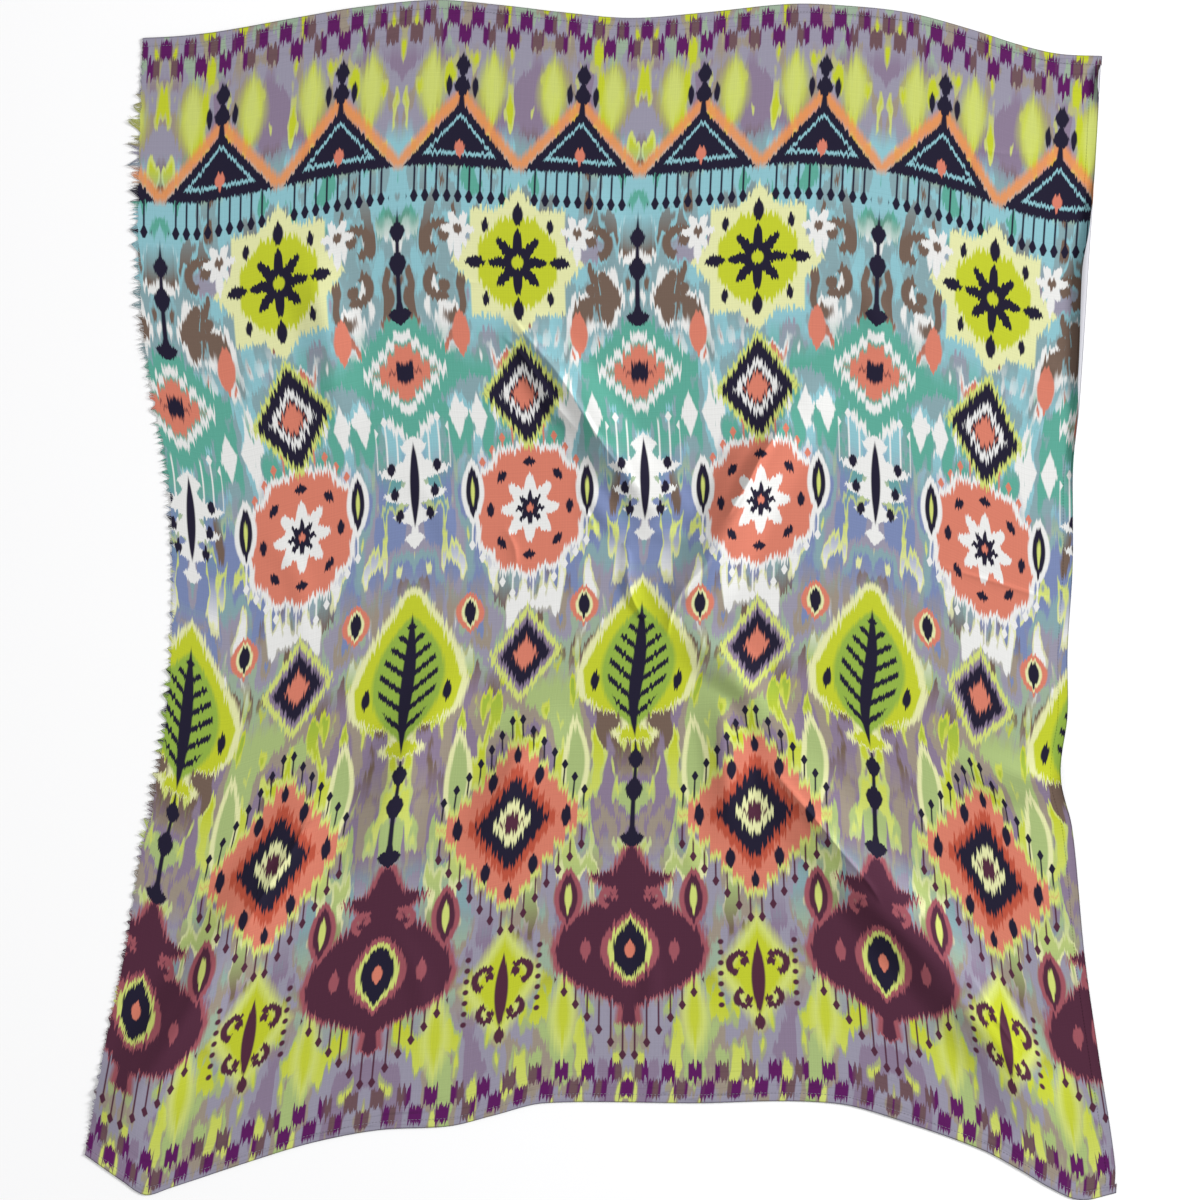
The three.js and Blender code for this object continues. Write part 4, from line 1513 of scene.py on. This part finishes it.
def reverse_material(scene):
    """The unprinted side: plain and pale, with a painted shade line where the hem turns back."""
    if "cloth_reverse" in bpy.data.materials:
        return bpy.data.materials["cloth_reverse"]
    recipe = Recipe("cloth_reverse")
    uv, u, v = recipe.cloth_spot()
    blotches = recipe.noise("3D", uv, 26.0, 3.0)
    shade = recipe.mixed(
        blotches * 0.5, tuple(scene.scarf_colours.reverse), linear(170, 170, 176))
    # Painted shade: a darker line where the curled hem turns back.
    painted_roll_shade = (abs(u - ROLL_LINE) - ROLL_LINE_HALF).inside(0.8)
    shade = recipe.mixed(painted_roll_shade, shade, linear(128, 128, 134))
    weave = weave_bump(recipe, u, v, REVERSE_WEAVE_SHOWS)
    return finish_cloth(recipe, shade, CLOTH_SHEEN, Normal=weave)


def sewing_material():
    """The sewing thread: a muted colour that varies along the seam."""
    if "sewing_thread" in bpy.data.materials:
        return bpy.data.materials["sewing_thread"]
    recipe = Recipe("sewing_thread")
    wear = recipe.noise("3D", recipe.object_spot(), 90.0, 2.0)
    shade = recipe.mixed(wear, linear(128, 122, 138), linear(156, 152, 164))
    return finish_cloth(recipe, shade, THREAD_SHEEN)


# The camera's place over the scarf, the width that it takes in and its sensor.
CAMERA_HEIGHT = 6.0
CAMERA_X = 0.001
FRAME_WIDTH = 1.2
SENSOR_WIDTH = 36.0
CAMERA_REACH = 100

# Half the floor's side, the lamps (place, size and power) and the strength of the room's light.
FLOOR_HALF = 15
LAMPS = (
    ("window_light", (5.4, 1.9, 2.6), 2.0, 440.0),
    ("fill_light", (-2.5, -1.5, 3.5), 3.0, 26.0),
)
ROOM_LIGHT = 0.52


class SCARF_OT_stage(bpy.types.Operator):
    """Set the pale floor, the soft light and the camera straight above"""

    bl_idname = "scarf.stage"
    bl_label = "Floor, light and camera"

    def floor(self, scene):
        bm = bmesh.new()
        bmesh.ops.create_grid(bm, x_segments=1, y_segments=1, size=FLOOR_HALF)
        mesh = bpy.data.meshes.new("floor")
        bm.to_mesh(mesh)
        bm.free()
        recipe = Recipe("pale_floor")
        mottle = recipe.noise("3D", recipe.object_spot(), 0.8, 2.0)
        shade = recipe.mixed(mottle, linear(253, 253, 253), linear(251, 251, 252))
        values = {"Base Color": shade, "Roughness": 0.9, "Specular IOR Level": 0.1}
        mesh.materials.append(recipe.surface(values))
        floor = bpy.data.objects.new("floor", mesh)
        scene.collection.objects.link(floor)

    def lamp(self, scene, name, place, size, power):
        light = bpy.data.lights.new(name, "AREA")
        light.shape = "DISK"
        light.size = size
        light.energy = power
        lamp = bpy.data.objects.new(name, light)
        lamp.location = place
        lamp.rotation_euler = (-Vector(place)).to_track_quat("-Z", "Y").to_euler()
        scene.collection.objects.link(lamp)

    def camera(self, scene):
        view = bpy.data.cameras.new("camera")
        view.sensor_width = SENSOR_WIDTH
        view.lens = SENSOR_WIDTH * CAMERA_HEIGHT / FRAME_WIDTH
        view.clip_end = CAMERA_REACH
        camera = bpy.data.objects.new("camera", view)
        camera.location = (CAMERA_X, 0, CAMERA_HEIGHT)
        scene.collection.objects.link(camera)
        scene.camera = camera

    def execute(self, context):
        scene = context.scene
        self.floor(scene)
        for lamp in LAMPS:
            self.lamp(scene, *lamp)
        world = bpy.data.worlds.new("pale_room")
        scene.world = world
        world.use_nodes = True
        background = world.node_tree.nodes["Background"].inputs
        background["Color"].default_value = (1, 1, 1, 1)
        background["Strength"].default_value = ROOM_LIGHT
        scene.view_settings.view_transform = "Standard"
        scene.view_settings.look = "None"
        self.camera(scene)
        return {"FINISHED"}


class SCARF_PT_pieces(bpy.types.Panel):
    """The scarf's pieces and its sizes"""

    bl_idname = "SCARF_PT_pieces"
    bl_label = "Scarf"
    bl_space_type = "VIEW_3D"
    bl_region_type = "UI"
    bl_category = "Scarf"

    def draw(self, context):
        layout = self.layout
        for piece in MAKERS:
            layout.operator(piece.bl_idname)
        for group in (context.scene.scarf_sizes, context.scene.scarf_colours):
            box = layout.box()
            for name in group.bl_rna.properties.keys():
                if name not in {"rna_type", "name"}:
                    box.prop(group, name)


MAKERS = (
    SCARF_OT_stage, SCARF_OT_panel, SCARF_OT_end_hems, SCARF_OT_side_hem, SCARF_OT_stitches,
    SCARF_OT_fringe,
)
CLASSES = (ScarfColours, ScarfSizes, *MAKERS, SCARF_PT_pieces)


def register():
    for item in CLASSES:
        bpy.utils.register_class(item)
    bpy.types.Scene.scarf_colours = PointerProperty(type=ScarfColours)
    bpy.types.Scene.scarf_sizes = PointerProperty(type=ScarfSizes)


def unregister():
    del bpy.types.Scene.scarf_sizes
    del bpy.types.Scene.scarf_colours
    for item in reversed(CLASSES):
        bpy.utils.unregister_class(item)


def main():
    register()
    bpy.ops.scarf.stage()
    bpy.ops.scarf.panel()
    bpy.ops.scarf.end_hems()
    bpy.ops.scarf.side_hem()
    bpy.ops.scarf.stitches()
    bpy.ops.scarf.fringe()


if __name__ == "__main__":
    main()
